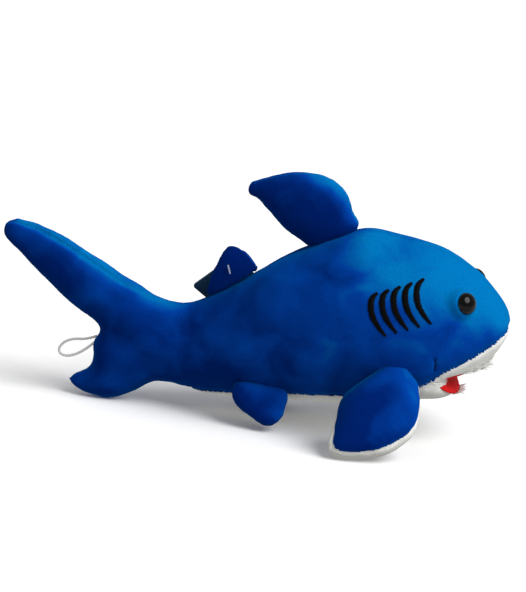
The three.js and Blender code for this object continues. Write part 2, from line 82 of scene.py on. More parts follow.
MM = 0.001
HEEL_TO_MIDDLE = 99.0  # mm from the heel of the tail to the middle of the toy, where the frame's origin is
CLOTH = 1.3  # mm, velour with its backing
SEED = 7

Point = Sequence[float]
Field = Callable[[np.ndarray], np.ndarray]
Node = bpy.types.Node
Socket = bpy.types.NodeSocket
Tree = bpy.types.NodeTree


class Slot(Enum):
    """The record's material slots."""

    BLUE = "blue_velour"
    WHITE = "white_velour"
    RED = "red_mouth_fabric"
    FELT = "white_felt"
    THREAD = "black_thread"
    CORD = "loop_cord"
    EYE = "eye_plastic"
    WASHER = "washer_plastic"
    PIN = "pin_nylon"
    CARD = "tag_card"


class Side(Enum):
    """The shark's own right and left, as the sign of Y."""

    RIGHT = -1
    LEFT = 1

    @property
    def label(self) -> str:
        """The word that piece names use."""
        return self.name.lower()


# ---------------------------------------------------------------- numbers and curves
def place(points: np.ndarray) -> np.ndarray:
    """Turns millimetres counted from the heel of the tail into metres in the frame.

    Args:
        points: rows of X, Y and Z in millimetres.

    Returns:
        The same rows in metres.
    """
    return (np.asarray(points, float) - (HEEL_TO_MIDDLE, 0, 0)) * MM


def drawn(points: np.ndarray) -> np.ndarray:
    """Turns metres in the frame into millimetres counted from the heel of the tail."""
    return np.asarray(points, float) / MM + (HEEL_TO_MIDDLE, 0, 0)


def catmull_rom(values: np.ndarray, at: np.ndarray) -> np.ndarray:
    """Points on a smooth curve through values.

    Args:
        values: the rows that the curve passes through.
        at: places along it, from 0 at the first row to 1 at the last.

    Returns:
        One row for each place.
    """
    values = np.asarray(values, float)
    padded = np.vstack([2 * values[0] - values[1], values, 2 * values[-1] - values[-2]])
    spot = np.asarray(at, float) * (len(values) - 1)
    i = np.minimum(spot.astype(int), len(values) - 2)
    f = (spot - i)[:, None]
    a, b, c, d = (padded[i + k] for k in range(4))
    return 0.5 * (2 * b + (c - a) * f + (2 * a - 5 * b + 4 * c - d) * f**2 + (3 * b - 3 * c + d - a) * f**3)


def eased(t: np.ndarray) -> np.ndarray:
    """A smooth step from 0 to 1 as t goes from 0 to 1."""
    t = np.clip(t, 0, 1)
    return t * t * (3 - 2 * t)


def speckle(points: np.ndarray, size: float, seed: float = 0.0) -> np.ndarray:
    """Smooth noise from about -1 to 1 in space.

    Args:
        points: rows in millimetres.
        size: about how many millimetres one swell takes.
        seed: moves the pattern to another place.

    Returns:
        One value for each row.
    """
    shift = Vector((seed * 17.3, seed * 5.1, seed * 9.7))
    return np.array([noise.noise(Vector(p) / size + shift) for p in points])


# ---------------------------------------------------------------- meshes
def new_mesh(name: str, points: np.ndarray, faces: Iterable[Sequence[int]]) -> bpy.types.Mesh:
    """A mesh from points in millimetres from the heel.

    Args:
        name: its name.
        points: rows in millimetres.
        faces: lists of point numbers.

    Returns:
        The mesh, in metres.
    """
    mesh = bpy.data.meshes.new(name)
    mesh.from_pydata(place(points).tolist(), [], [list(f) for f in faces])
    mesh.update()
    return mesh


def new_object(name: str, mesh: bpy.types.Mesh, finish: bpy.types.Material | None = None) -> bpy.types.Object:
    """Adds a mesh to the scene, smooth, at the origin.

    Args:
        name: the object's name.
        mesh: its mesh.
        finish: its only material, or None to leave the mesh as it is.

    Returns:
        The object.
    """
    made = bpy.data.objects.new(name, mesh)
    bpy.context.scene.collection.objects.link(made)
    if finish is not None:
        mesh.materials.clear()
        mesh.materials.append(finish)
    mesh.shade_smooth()
    return made


def evaluated(source: bpy.types.Object) -> bpy.types.Mesh:
    """The object's mesh with its modifiers applied, as a mesh of its own."""
    depsgraph = bpy.context.evaluated_depsgraph_get()
    return bpy.data.meshes.new_from_object(source.evaluated_get(depsgraph), depsgraph=depsgraph)


def baked(source: bpy.types.Object, name: str | None = None) -> bpy.types.Object:
    """Replaces an object by a plain one whose mesh has the modifiers applied.

    Args:
        source: the object with modifiers, which is removed.
        name: the new object's name, or the old one's.

    Returns:
        The plain object.
    """
    wanted = name or source.name
    mesh = evaluated(source)
    bpy.data.objects.remove(source)
    mesh.name = wanted
    return new_object(wanted, mesh)


def points_of(mesh: bpy.types.Mesh) -> np.ndarray:
    """Reads a mesh's points.

    Args:
        mesh: the mesh.

    Returns:
        Rows in millimetres from the heel.
    """
    flat = np.empty(len(mesh.vertices) * 3, np.float32)
    mesh.vertices.foreach_get("co", flat)
    return drawn(flat.reshape(-1, 3))


def set_points(mesh: bpy.types.Mesh, points: np.ndarray) -> None:
    """Moves the mesh's points, given in millimetres from the heel."""
    mesh.vertices.foreach_set("co", place(points).astype(np.float32).ravel())
    mesh.update()


def normals_of(mesh: bpy.types.Mesh) -> np.ndarray:
    """Reads the surface's direction at each of a mesh's points.

    Args:
        mesh: the mesh.

    Returns:
        Rows of unit length.
    """
    flat = np.empty(len(mesh.vertices) * 3, np.float32)
    mesh.vertex_normals.foreach_get("vector", flat)
    return flat.reshape(-1, 3).astype(float)


def smoothed(mesh: bpy.types.Mesh, points: np.ndarray, rounds: int, share: float = 0.5) -> np.ndarray:
    """Evens out points over the mesh's edges.

    Args:
        mesh: gives the edges.
        points: a row for each of the mesh's points.
        rounds: how many times each point moves towards its neighbours' middle.
        share: how far it moves each time.

    Returns:
        The evened rows.
    """
    ends = np.empty(len(mesh.edges) * 2, np.int32)
    mesh.edges.foreach_get("vertices", ends)
    a, b = ends.reshape(-1, 2).T
    number = len(points)
    count = np.bincount(np.concatenate([a, b]), minlength=number).clip(1)[:, None]
    for _ in range(rounds):
        sums = [np.bincount(a, row[b], number) + np.bincount(b, row[a], number) for row in points.T]
        points = points + share * (np.stack(sums, axis=1) / count - points)
    return points


def ring_faces(count: int, sides: int) -> list[tuple[int, int, int, int]]:
    """The quads between rings of points that follow each other.

    Args:
        count: how many rings there are.
        sides: points in each.

    Returns:
        Point numbers of each quad.
    """
    faces = []
    for i in range(count - 1):
        for j in range(sides):
            k = (j + 1) % sides
            faces.append((i * sides + j, i * sides + k, (i + 1) * sides + k, (i + 1) * sides + j))
    return faces


def tube(name: str, rings: np.ndarray) -> bpy.types.Mesh:
    """A mesh through rings of points, closed by a flat face at each end.

    Args:
        name: its name.
        rings: points in millimetres, by ring and by place round it.

    Returns:
        The mesh, facing out.
    """
    count, sides = rings.shape[:2]
    faces = [*ring_faces(count, sides), tuple(range(sides))[::-1]]
    faces.append(tuple((count - 1) * sides + j for j in range(sides)))
    mesh = new_mesh(name, rings.reshape(-1, 3), faces)
    face_out(mesh)
    return mesh


def circle(first: np.ndarray, second: np.ndarray, sides: int) -> np.ndarray:
    """Unit directions round a circle that two directions span."""
    angle = np.linspace(0, 2 * np.pi, sides, endpoint=False)[:, None]
    return np.cos(angle) * first + np.sin(angle) * second


def turned(
    name: str, profile: Sequence[tuple[float, float]], at: np.ndarray, way: np.ndarray, sides: int = 64
) -> bpy.types.Mesh:
    """A solid turned on a lathe.

    Args:
        name: the mesh's name.
        profile: radius and height of each step along the section, in millimetres.
        at: where height zero is.
        way: the axis.
        sides: points round it.

    Returns:
        A closed mesh, facing out.
    """
    first = np.cross(way, [0, 0, 1.0])
    first /= np.linalg.norm(first)
    around = circle(first, np.cross(way, first), sides)
    rings = np.array([at + way * height + around * radius for radius, height in profile])
    bm = bmesh.new()
    bm.from_mesh(new_mesh(name + "_section", rings.reshape(-1, 3), ring_faces(len(profile), sides)))
    bmesh.ops.remove_doubles(bm, verts=bm.verts, dist=0.001 * MM)
    mesh = bpy.data.meshes.new(name)
    bm.to_mesh(mesh)
    bm.free()
    face_out(mesh)
    return mesh


@dataclass
class OvalForm:
    """A closed stuffed form lofted through oval sections.

    Each station is X, Y and Z of its middle, half its long side, that side's angle above level,
    and half its thickness, in millimetres and degrees.
    """

    stations: Sequence[Sequence[float]]
    side: Point = (0, 1, 0)
    bluntness: float = 2.0

    def mesh(self, name: str, steps: int, sides: int, grow: float = 0.0) -> bpy.types.Mesh:
        """The form's mesh, all quads but for its two poles.

        Args:
            name: the mesh's name.
            steps: sections along it.
            sides: points round each section.
            grow: how far the surface moves out, in millimetres.

        Returns:
            A closed mesh whose faces point out.
        """
        rows = np.array(self.stations, float)
        turn = np.radians(rows[:, 4])
        chords = np.stack([rows[:, 3] * np.cos(turn), 0 * turn, rows[:, 3] * np.sin(turn)], axis=1)
        at = np.linspace(0, 1, steps)
        centres = catmull_rom(rows[:, :3], at)
        chord = catmull_rom(chords, at)
        thick = np.maximum(catmull_rom(rows[:, 5:6], at)[:, 0] + grow, 0.4)
        half = np.linalg.norm(chord, axis=1)
        chord /= half[:, None]
        half = np.maximum(half + grow, 0.4)
        across = np.array(self.side, float)
        across /= np.linalg.norm(across)
        angle = np.linspace(0, 2 * np.pi, sides, endpoint=False)
        power = 2 / self.bluntness
        c = np.sign(np.cos(angle)) * np.abs(np.cos(angle)) ** power
        s = np.sign(np.sin(angle)) * np.abs(np.sin(angle)) ** power
        grid = centres[:, None] + chord[:, None] * (half[:, None] * c)[..., None]
        grid = grid + across * (thick[:, None] * s)[..., None]
        points = np.vstack([grid.reshape(-1, 3), centres[0], centres[-1]])
        faces = ring_faces(steps, sides)
        first, last = len(points) - 2, len(points) - 1
        for j in range(sides):
            k = (j + 1) % sides
            faces.append((first, k, j))
            faces.append((last, (steps - 1) * sides + j, (steps - 1) * sides + k))
        mesh = new_mesh(name, points, faces)
        face_out(mesh)
        return mesh


def face_out(mesh: bpy.types.Mesh) -> None:
    """Makes a closed mesh's faces point out.

    Args:
        mesh: the mesh, changed in place.
    """
    bm = bmesh.new()
    bm.from_mesh(mesh)
    bmesh.ops.recalc_face_normals(bm, faces=bm.faces)
    if bm.calc_volume(signed=True) < 0:
        bmesh.ops.reverse_faces(bm, faces=bm.faces)
    bm.to_mesh(mesh)
    bm.free()


def joined(name: str, meshes: Iterable[bpy.types.Mesh]) -> bpy.types.Mesh:
    """Puts meshes together in one.

    Args:
        name: the new mesh's name.
        meshes: the meshes.

    Returns:
        The new mesh.
    """
    bm = bmesh.new()
    for mesh in meshes:
        bm.from_mesh(mesh)
    made = bpy.data.meshes.new(name)
    bm.to_mesh(made)
    bm.free()
    return made


# ---------------------------------------------------------------- stuffing and sewing
@dataclass(frozen=True)
class Filling:
    """How a form is stuffed: the voxel of its cage, the pressure in it and how far the cloth may swell."""

    voxel: float = 3.0
    pressure: float = 4.0
    swell: float = 2.0
    frames: int = 20
    smooth: int = 6

    def skin(self, name: str, cage: bpy.types.Mesh, held: Field | None = None) -> bpy.types.Mesh:
        """Remeshes a cage evenly, blows it up as cloth under pressure and returns its skin.

        Args:
            name: the mesh's name.
            cage: closed meshes that may overlap, already a little small.
            held: gives 1 where the cloth is sewn down and 0 where it is free, from points in millimetres.

        Returns:
            The swollen skin, one closed mesh, subdivided once.
        """
        cage_object = new_object(name + "_cage", cage)
        voxels = cage_object.modifiers.new("even_mesh", "REMESH")
        voxels.mode = "VOXEL"
        voxels.voxel_size = self.voxel * MM
        body = baked(cage_object)
        mesh = body.data
        set_points(mesh, smoothed(mesh, points_of(mesh), self.smooth))
        self._blow_up(body, held)
        set_points(mesh, smoothed(mesh, points_of(mesh), 2))
        finer = body.modifiers.new("finer", "SUBSURF")
        finer.levels = finer.render_levels = 1
        body = baked(body)
        mesh = body.data
        bpy.data.objects.remove(body)
        return mesh

    def _blow_up(self, body: bpy.types.Object, held: Field | None) -> None:
        """Runs the cloth simulation and keeps its result, with each point's move capped.

        Args:
            body: the evenly meshed form, changed in place.
            held: see skin.
        """
        mesh = body.data
        rest = points_of(mesh)
        cloth = body.modifiers.new("stuffing", "CLOTH")
        settings = cloth.settings
        settings.quality = 5
        settings.use_pressure = True
        settings.uniform_pressure_force = self.pressure
        settings.effector_weights.gravity = 0.0
        if held is not None:
            group = body.vertex_groups.new(name="sewn_down")
            weights = held(rest)
            for i in np.nonzero(weights > 0.01)[0]:
                group.add([int(i)], float(weights[i]), "REPLACE")
            settings.vertex_group_mass = group.name
        scene = bpy.context.scene
        for number in range(1, self.frames + 1):
            scene.frame_set(number)
        blown = evaluated(body)
        moved = points_of(blown) - rest
        bpy.data.meshes.remove(blown)
        body.modifiers.remove(cloth)
        scene.frame_set(1)
        far = np.linalg.norm(moved, axis=1)
        moved *= np.minimum(1, self.swell / np.maximum(far, 1e-6))[:, None]
        if held is not None:
            moved *= (1 - held(rest))[:, None]
        set_points(mesh, rest + smoothed(mesh, moved, 3))


def snap_to_line(bm: bmesh.types.BMesh, value: dict[bmesh.types.BMVert, float], reach: float = 0.42) -> None:
    """Moves points that lie close to a line onto it, so that the cut leaves no slivers.

    Args:
        bm: the mesh.
        value: each point's value, which is zero on the line and is set to zero for the moved ones.
        reach: how far along its edge a point may move, as a share of the edge.
    """
    near = []
    for edge in bm.edges:
        a, b = edge.verts
        if value[a] * value[b] < 0:
            share = value[a] / (value[a] - value[b])
            near.append((min(share, 1 - share), edge.index, edge, share))
    for closeness, _, edge, share in sorted(near, key=itemgetter(0, 1)):
        a, b = edge.verts
        if closeness > reach or value[a] == 0.0 or value[b] == 0.0:
            continue
        mover = a if share < 0.5 else b
        mover.co = a.co.lerp(b.co, share)
        value[mover] = 0.0


def cut_along(mesh: bpy.types.Mesh, line: Field) -> None:
    """Adds edges to a mesh where line's value passes zero, so that panels can part there.

    Args:
        mesh: the mesh to cut, in place.
        line: a value for each point in millimetres, negative on one side and positive on the other.
    """
    bm = bmesh.new()
    bm.from_mesh(mesh)
    bm.verts.ensure_lookup_table()
    values = line(drawn(np.array([v.co for v in bm.verts])))
    values[np.abs(values) < 0.02] = 0.0
    value = {v: values[i] for i, v in enumerate(bm.verts)}
    snap_to_line(bm, value)
    crossing = [e for e in bm.edges if value[e.verts[0]] * value[e.verts[1]] < 0]
    for edge in crossing:
        a, b = edge.verts
        share = value[a] / (value[a] - value[b])
        _, fresh = bmesh.utils.edge_split(edge, a, share)
        value[fresh] = 0.0
    on_line = [v for v in bm.verts if value[v] == 0.0]
    bmesh.ops.connect_verts(bm, verts=on_line)
    bm.to_mesh(mesh)
    bm.free()


def parted(mesh: bpy.types.Mesh, name: str, *sides: tuple[Field, int]) -> bpy.types.Mesh:
    """Takes one panel out of a cut mesh.

    Args:
        mesh: the whole, left as it is.
        name: the new mesh's name.
        sides: lines that bound the panel, each with the sign that it has on the panel's side.

    Returns:
        The panel, open at its edges.
    """
    middles = np.empty(len(mesh.polygons) * 3, np.float32)
    mesh.polygons.foreach_get("center", middles)
    spots = drawn(middles.reshape(-1, 3))
    wanted = np.all([line(spots) * sign > 0 for line, sign in sides], axis=0)
    bm = bmesh.new()
    bm.from_mesh(mesh)
    bm.faces.ensure_lookup_table()
    bmesh.ops.delete(bm, geom=[f for f in bm.faces if not wanted[f.index]], context="FACES")
    made = bpy.data.meshes.new(name)
    bm.to_mesh(made)
    bm.free()
    return made


def seam_distance(mesh: bpy.types.Mesh, points: np.ndarray, line: Field) -> np.ndarray:
    """How far each point is from a seam, measured over the surface, in millimetres.

    Args:
        mesh: gives the normals.
        points: its points in millimetres.
        line: the seam's value at any point, zero on the seam.

    Returns:
        One distance for each point.
    """
    step = 0.5
    steepest = 0.15  # keeps places where the line runs along the surface from counting as far away
    rises = [line(points + way) - line(points - way) for way in np.eye(3) * step]
    slope = np.stack(rises, axis=1) / (2 * step)
    normal = normals_of(mesh)
    slope -= normal * (slope * normal).sum(1)[:, None]
    return np.abs(line(points)) / np.maximum(np.linalg.norm(slope, axis=1), steepest)


def rolled_in(distance: np.ndarray, depth: float, width: float) -> np.ndarray:
    """How deep cloth lies that rolls over into a seam: depth at the seam, none at width from it."""
    return depth * np.clip(1 - distance / width, 0, 1) ** 1.7


def puckers(points: np.ndarray, distance: np.ndarray, height: float, reach: float, seed: float) -> np.ndarray:
    """Small gathers of cloth that a seam pulls, fading away from it."""
    return height * speckle(points, 7.0, seed) * np.exp(-distance / reach)


def nap_at(points: np.ndarray, normal: np.ndarray, edge: np.ndarray | float, bias: float) -> np.ndarray:
    """Painted light and shade for the velour's colour: 0 is the painted shade, 1 the painted light.

    Args:
        points: rows in millimetres.
        normal: the surface's direction at each.
        edge: how near a seam each is, from 0 to 1, where a painted highlight is added.
        bias: shifts the whole piece's painted light and shade; below zero paints it darker.

    Returns:
        One value for each row.
    """
    # painted light: the key light's direction; faces turned towards it are painted lighter
    brushed = np.array([0.55, -0.25, 0.8])
    facing = normal @ (brushed / np.linalg.norm(brushed))
    # painted light: lighter towards the head, darker towards the tail
    along = np.interp(points[:, 0], [-80, 30, 110, 170, 220, 280], [0.22, 0.12, 0.28, 0.4, 0.46, 0.6])
    # painted shade on faces that point down
    under = 0.32 * eased(-normal[:, 2] / 0.85)
    # seams get a painted highlight
    return along + 0.62 * eased((facing - 0.42) / 0.55) - under + 0.5 * edge + bias


def store_nap(mesh: bpy.types.Mesh, nap: np.ndarray) -> None:
    """Keeps the painted light and shade on the mesh for its material."""
    layer = mesh.attributes.new("nap", "FLOAT", "POINT")
    layer.data.foreach_set("value", nap.astype(np.float32))


def walled(piece: bpy.types.Object, thick: float = CLOTH) -> bpy.types.Object:
    """Gives an open panel its cloth's thickness, inwards, with closed edges.

    Args:
        piece: the panel, which is replaced.
        thick: the cloth's thickness in millimetres.

    Returns:
        The new panel.
    """
    wall = piece.modifiers.new("cloth", "SOLIDIFY")
    wall.thickness = thick * MM
    wall.offset = -1
    wall.use_even_offset = False
    return baked(piece)


# ---------------------------------------------------------------- nodes
def linear(code: str) -> tuple[float, float, float, float]:
    """An sRGB hex colour as linear red, green, blue and alpha."""
    parts = [int(code[i : i + 2], 16) / 255 for i in (1, 3, 5)]
    return (*[c / 12.92 if c <= 0.04045 else ((c + 0.055) / 1.055) ** 2.4 for c in parts], 1.0)


def set_inputs(tree: Tree, node: Node, inputs: dict) -> None:
    """Fills a node's inputs.

    Args:
        tree: the node's tree.
        node: the node.
        inputs: a value or another node's output for each input, by name or number.
    """
    for key, value in inputs.items():
        if isinstance(value, Socket):
            tree.links.new(value, node.inputs[key])
        else:
            node.inputs[key].default_value = value


def add_node(
    tree: Tree, kind: str, settings: dict | None = None, inputs: dict | None = None
) -> Node:
    """Adds a node with its settings, values and links.

    Args:
        tree: the tree it goes into.
        kind: the node's type.
        settings: its properties by name.
        inputs: see set_inputs.

    Returns:
        The node.
    """
    node = tree.nodes.new(kind)
    for name, value in (settings or {}).items():
        setattr(node, name, value)
    set_inputs(tree, node, inputs or {})
    return node


def bare_material(name: str) -> tuple[bpy.types.Material, Tree, Node]:
    """Makes a material with one shader.

    Args:
        name: its name.

    Returns:
        The material, its tree and the shader.
    """
    made = bpy.data.materials.new(name)
    made.use_nodes = True
    return made, made.node_tree, made.node_tree.nodes["Principled BSDF"]


def grain(
    tree: Tree, size: float, detail: float = 2.0, roughness: float = 0.5, distortion: float = 0.0
) -> Socket:
    """Noise in the object's own coordinates.

    Args:
        tree: the material's tree.
        size: about how large one fleck is, in millimetres.
        detail: how many finer layers it has.
        roughness: how strong those are.
        distortion: how far it is drawn out of shape.

    Returns:
        Its value, from 0 to 1.
    """
    where = add_node(tree, "ShaderNodeTexCoord").outputs["Object"]
    inputs = {"Vector": where, "Scale": 1 / (size * MM), "Detail": detail, "Roughness": roughness}
    return add_node(tree, "ShaderNodeTexNoise", None, inputs | {"Distortion": distortion}).outputs["Fac"]


def reckoned(tree: Tree, operation: str, *values: float | Socket) -> Socket:
    """The result of a sum on numbers."""
    inputs = dict(enumerate(values))
    return add_node(tree, "ShaderNodeMath", {"operation": operation}, inputs).outputs["Value"]


def vector_of(
    tree: Tree, operation: str, first: Socket, second: Socket
) -> Socket:
    """The result of a sum on vectors; for SCALE the second one is the factor."""
    inputs = {0: first, "Scale" if operation == "SCALE" else 1: second}
    return add_node(tree, "ShaderNodeVectorMath", {"operation": operation}, inputs).outputs["Vector"]


def spread_over(
    tree: Tree, value: Socket, low: float, high: float, start: float = 0.0, end: float = 1.0
) -> Socket:
    """Maps values between start and end to values between low and high."""
    inputs = {"Value": value, "From Min": start, "From Max": end, "To Min": low, "To Max": high}
    return add_node(tree, "ShaderNodeMapRange", None, inputs).outputs["Result"]


def mixed(tree: Tree, factor: Socket, first: str, second: str) -> Socket:
    """Mixes two sRGB colours."""
    inputs = {"Factor": factor, "A": linear(first), "B": linear(second)}
    return add_node(tree, "ShaderNodeMix", {"data_type": "RGBA"}, inputs).outputs["Result"]


def relief(tree: Tree, height: Socket, strength: float, deep: float) -> Socket:
    """A bump, deep in millimetres, as the normal that it gives."""
    inputs = {"Strength": strength, "Distance": deep * MM, "Height": height}
    return add_node(tree, "ShaderNodeBump", None, inputs).outputs["Normal"]


@dataclass(frozen=True)
class Velour:
    """Short-pile polyester velour, warp-knitted, sheared and brushed.

    It is nearly matt, with a lit edge where the pile stands against the light, and soft clouds where
    a hand has laid the pile over. Its base colour is painted light and shade: a stored value on each
    point mixes a shaded copy of the colour with a lit copy.
    """

    name: str
    # deep, middle and bright are one colour in painted shade, painted half light and painted light
    deep: str
    middle: str
    bright: str
    sheen: str
    sheen_weight: float = 0.22
    # strength of the random brushed clouds
    brushed: float = 1.3
    cloud: float = 32.0  # mm, a brushed patch
    pile: float = 1.1  # mm, coarser than the real 0.3 mm tufts so that it shows

    def material(self) -> bpy.types.Material:
        """The finish as nodes."""
        made, tree, shader = bare_material(self.name)
        # painted light and shade, stored on each point by the build
        painted_light_factor = add_node(tree, "ShaderNodeAttribute", {"attribute_name": "nap"}).outputs["Fac"]
        cloud = grain(tree, self.cloud, 2.0, 0.45, 0.6)
        patch = reckoned(tree, "MULTIPLY_ADD", cloud, self.brushed, -0.5 * self.brushed)
        # painted light and shade: the ramp runs from the shaded copy through the middle one to the lit copy;
        # the random clouds shift it
        tint = add_node(tree, "ShaderNodeValToRGB", None, {"Fac": reckoned(tree, "ADD", painted_light_factor, patch)})
        stops = tint.color_ramp.elements
        stops[0].color = linear(self.deep)
        stops[1].color = linear(self.bright)
        stops.new(0.5).color = linear(self.middle)
        pile = grain(tree, self.pile, 2.0, 0.6)
        tufts = spread_over(tree, pile, 0.86, 1.12, 0.3, 0.7)
        looks = {
            "Base Color": vector_of(tree, "SCALE", tint.outputs["Color"], tufts),
            "Normal": relief(tree, pile, 0.3, 0.4),
            "Roughness": 0.9,
            "Specular IOR Level": 0.0,
            "Sheen Weight": self.sheen_weight,
            "Sheen Roughness": 0.45,
            "Sheen Tint": linear(self.sheen),
        }
        set_inputs(tree, shader, looks)
        return made


@dataclass(frozen=True)
class MattFibre:
    """Fibre goods without a lit nap: felt, knitted lining, thread and cord.

    The surface scatters light evenly and shows its fibres as fine mottling.
    """

    name: str
    dark: str
    light: str
    grain: float  # mm
    roughness: float = 0.9
    relief: float = 0.2
    gloss: float = 0.2

    def material(self) -> bpy.types.Material:
        """The finish as nodes."""
        made, tree, shader = bare_material(self.name)
        flecks = grain(tree, self.grain, 3.0, 0.6)
        looks = {
            "Base Color": mixed(tree, flecks, self.dark, self.light),
            "Normal": relief(tree, flecks, self.relief, 0.3),
            "Roughness": self.roughness,
            "Specular IOR Level": self.gloss,
        }
        set_inputs(tree, shader, looks)
        return made


@dataclass(frozen=True)
class MouldedPlastic:
    """Injection-moulded plastic: even colour, a gloss that shows the lights, faint handling marks."""

    name: str
    colour: str
    roughness: float
    ior: float = 1.5
    gloss: float = 0.5

    def material(self) -> bpy.types.Material:
        """The finish as nodes."""
        made, tree, shader = bare_material(self.name)
        marks = grain(tree, 3.0, 4.0)
        looks = {
            "Base Color": linear(self.colour),
            "Roughness": spread_over(tree, marks, self.roughness * 0.7, self.roughness * 1.4),
            "IOR": self.ior,
            "Specular IOR Level": self.gloss,
        }
        set_inputs(tree, shader, looks)
        return made


@dataclass(frozen=True)
class CoatedCard:
    """Board printed one flat colour and varnished, so it has a soft gloss over faint paper mottling."""

    name: str
    ink: str
    worn: str

    def material(self) -> bpy.types.Material:
        """The finish as nodes."""
        made, tree, shader = bare_material(self.name)
        looks = {
            "Base Color": mixed(tree, grain(tree, 6.0, 5.0, 0.65), self.ink, self.worn),
            "Roughness": 0.38,
            "Coat Weight": 0.25,
            "Coat Roughness": 0.2,
        }
        set_inputs(tree, shader, looks)
        return made


@dataclass
class Wardrobe:
    """Every finish of the toy, made once."""

    made: dict[Slot, bpy.types.Material] = field(default_factory=dict)

    def __post_init__(self) -> None:
        """Makes the materials."""
        # white velour: painted shade, painted half light and painted light, then its sheen's tint
        white = ("#cfcfca", "#dcdcd8", "#e6e6e3", "#ffffff")
        finishes = {
            # blue velour: painted shade, painted half light and painted light, then its sheen's tint
            Slot.BLUE: Velour("short_pile_polyester_velour_blue", "#011e66", "#023a94", "#0268a8", "#08b4ff"),
            Slot.WHITE: Velour("short_pile_polyester_velour_white", *white, 0.15),
            Slot.RED: MattFibre("brushed_tricot_red", "#b80408", "#d2060a", 0.8, 0.8),
            Slot.FELT: MattFibre("pressed_polyester_felt_white", "#cfcfcb", "#ebebe8", 0.7, 0.95, 0.5),
            Slot.THREAD: MattFibre(
                "rayon_embroidery_thread_black", "#000000", "#040406", 0.5, 0.6, 0.2, 0.06
            ),
            Slot.CORD: MattFibre("twisted_polyester_cord_white", "#bcbcbb", "#d9d9d7", 0.6, 0.8, 0.3),
            Slot.EYE: MouldedPlastic("polished_acrylic_black", "#010102", 0.1, 1.49, 0.16),
            Slot.WASHER: MouldedPlastic("moulded_polypropylene_natural", "#d8d8d2", 0.4),
            Slot.PIN: MouldedPlastic("moulded_nylon_clear_white", "#8d99a8", 0.25, 1.53),
            Slot.CARD: CoatedCard("varnished_card_dark_teal", "#163f57", "#33576c"),
        }
        self.made = {slot: finish.material() for slot, finish in finishes.items()}

    def __getitem__(self, slot: Slot) -> bpy.types.Material:
        """The material of a slot."""
        return self.made[slot]


# ---------------------------------------------------------------- thread and fibre by rule
def geometry_tree(name: str, sizes: dict[str, tuple[str, float]]) -> tuple[Tree, Node]:
    """An empty geometry tree with named inputs.

    Args:
        name: its name.
        sizes: each input's socket type and value, by name.

    Returns:
        The tree and its input node.
    """
    tree = bpy.data.node_groups.new(name, "GeometryNodeTree")
    tree.interface.new_socket("Geometry", in_out="INPUT", socket_type="NodeSocketGeometry")
    tree.interface.new_socket("Geometry", in_out="OUTPUT", socket_type="NodeSocketGeometry")
    for key, (kind, value) in sizes.items():
        socket = tree.interface.new_socket(key, in_out="INPUT", socket_type=kind)
        if value is not None:
            socket.default_value = value
    return tree, tree.nodes.new("NodeGroupInput")


def even_line(tree: Tree, given: Node) -> Socket:
    """The path that a tree is given, with points at the given spacing."""
    line = add_node(tree, "GeometryNodeMeshToCurve", None, {"Mesh": given.outputs["Geometry"]})
    inputs = {"Curve": line.outputs["Curve"], "Length": given.outputs["Spacing"]}
    return add_node(tree, "GeometryNodeResampleCurve", {"mode": "LENGTH"}, inputs).outputs["Curve"]


def of_path(tree: Tree, name: str, kind: str) -> Socket:
    """An attribute of the path by name."""
    node = add_node(tree, "GeometryNodeInputNamedAttribute", {"data_type": kind}, {"Name": name})
    return node.outputs["Attribute"]


def chance(
    tree: Tree,
    low: float | Socket,
    high: float | Socket,
    seed: Socket,
) -> Socket:
    """A random value between two for each point."""
    inputs = {2: low, 3: high, "Seed": seed}
    return add_node(tree, "FunctionNodeRandomValue", {"data_type": "FLOAT"}, inputs).outputs[1]


def on_axes(tree: Tree, x: float, y: float, z: float) -> Socket:
    """A vector of three values, each a number or a socket."""
    return add_node(tree, "ShaderNodeCombineXYZ", None, {"X": x, "Y": y, "Z": z}).outputs["Vector"]


def plant(tree: Tree, given: Node, bow: dict, ring: dict, rows: dict, taper: float = 1.0) -> None:
    """Sweeps one bowed thread, copies it to each point and ends the tree in real geometry.

    Args:
        tree: the tree.
        given: its input node.
        bow: the thread's path, as a quadratic curve's inputs.
        ring: its section, as a circle's inputs.
        rows: the points, rotation and scale of the copies.
        taper: the section's scale along the path, a number or a socket.
    """
    path = add_node(tree, "GeometryNodeCurveQuadraticBezier", None, bow).outputs["Curve"]
    section = add_node(tree, "GeometryNodeCurvePrimitiveCircle", None, ring).outputs["Curve"]
    inputs = {"Curve": path, "Profile Curve": section, "Scale": taper, "Fill Caps": True}
    thread = add_node(tree, "GeometryNodeCurveToMesh", None, inputs).outputs["Mesh"]
    inputs = rows | {"Instance": thread}
    copies = add_node(tree, "GeometryNodeInstanceOnPoints", None, inputs).outputs["Instances"]
    real = add_node(tree, "GeometryNodeRealizeInstances", None, {"Geometry": copies}).outputs["Geometry"]
    smooth = add_node(tree, "GeometryNodeSetShadeSmooth", None, {"Geometry": real}).outputs["Geometry"]
    inputs = {"Geometry": smooth, "Material": given.outputs["Material"]}
    dressed = add_node(tree, "GeometryNodeSetMaterial", None, inputs).outputs["Geometry"]
    add_node(tree, "NodeGroupOutput", None, {"Geometry": dressed})


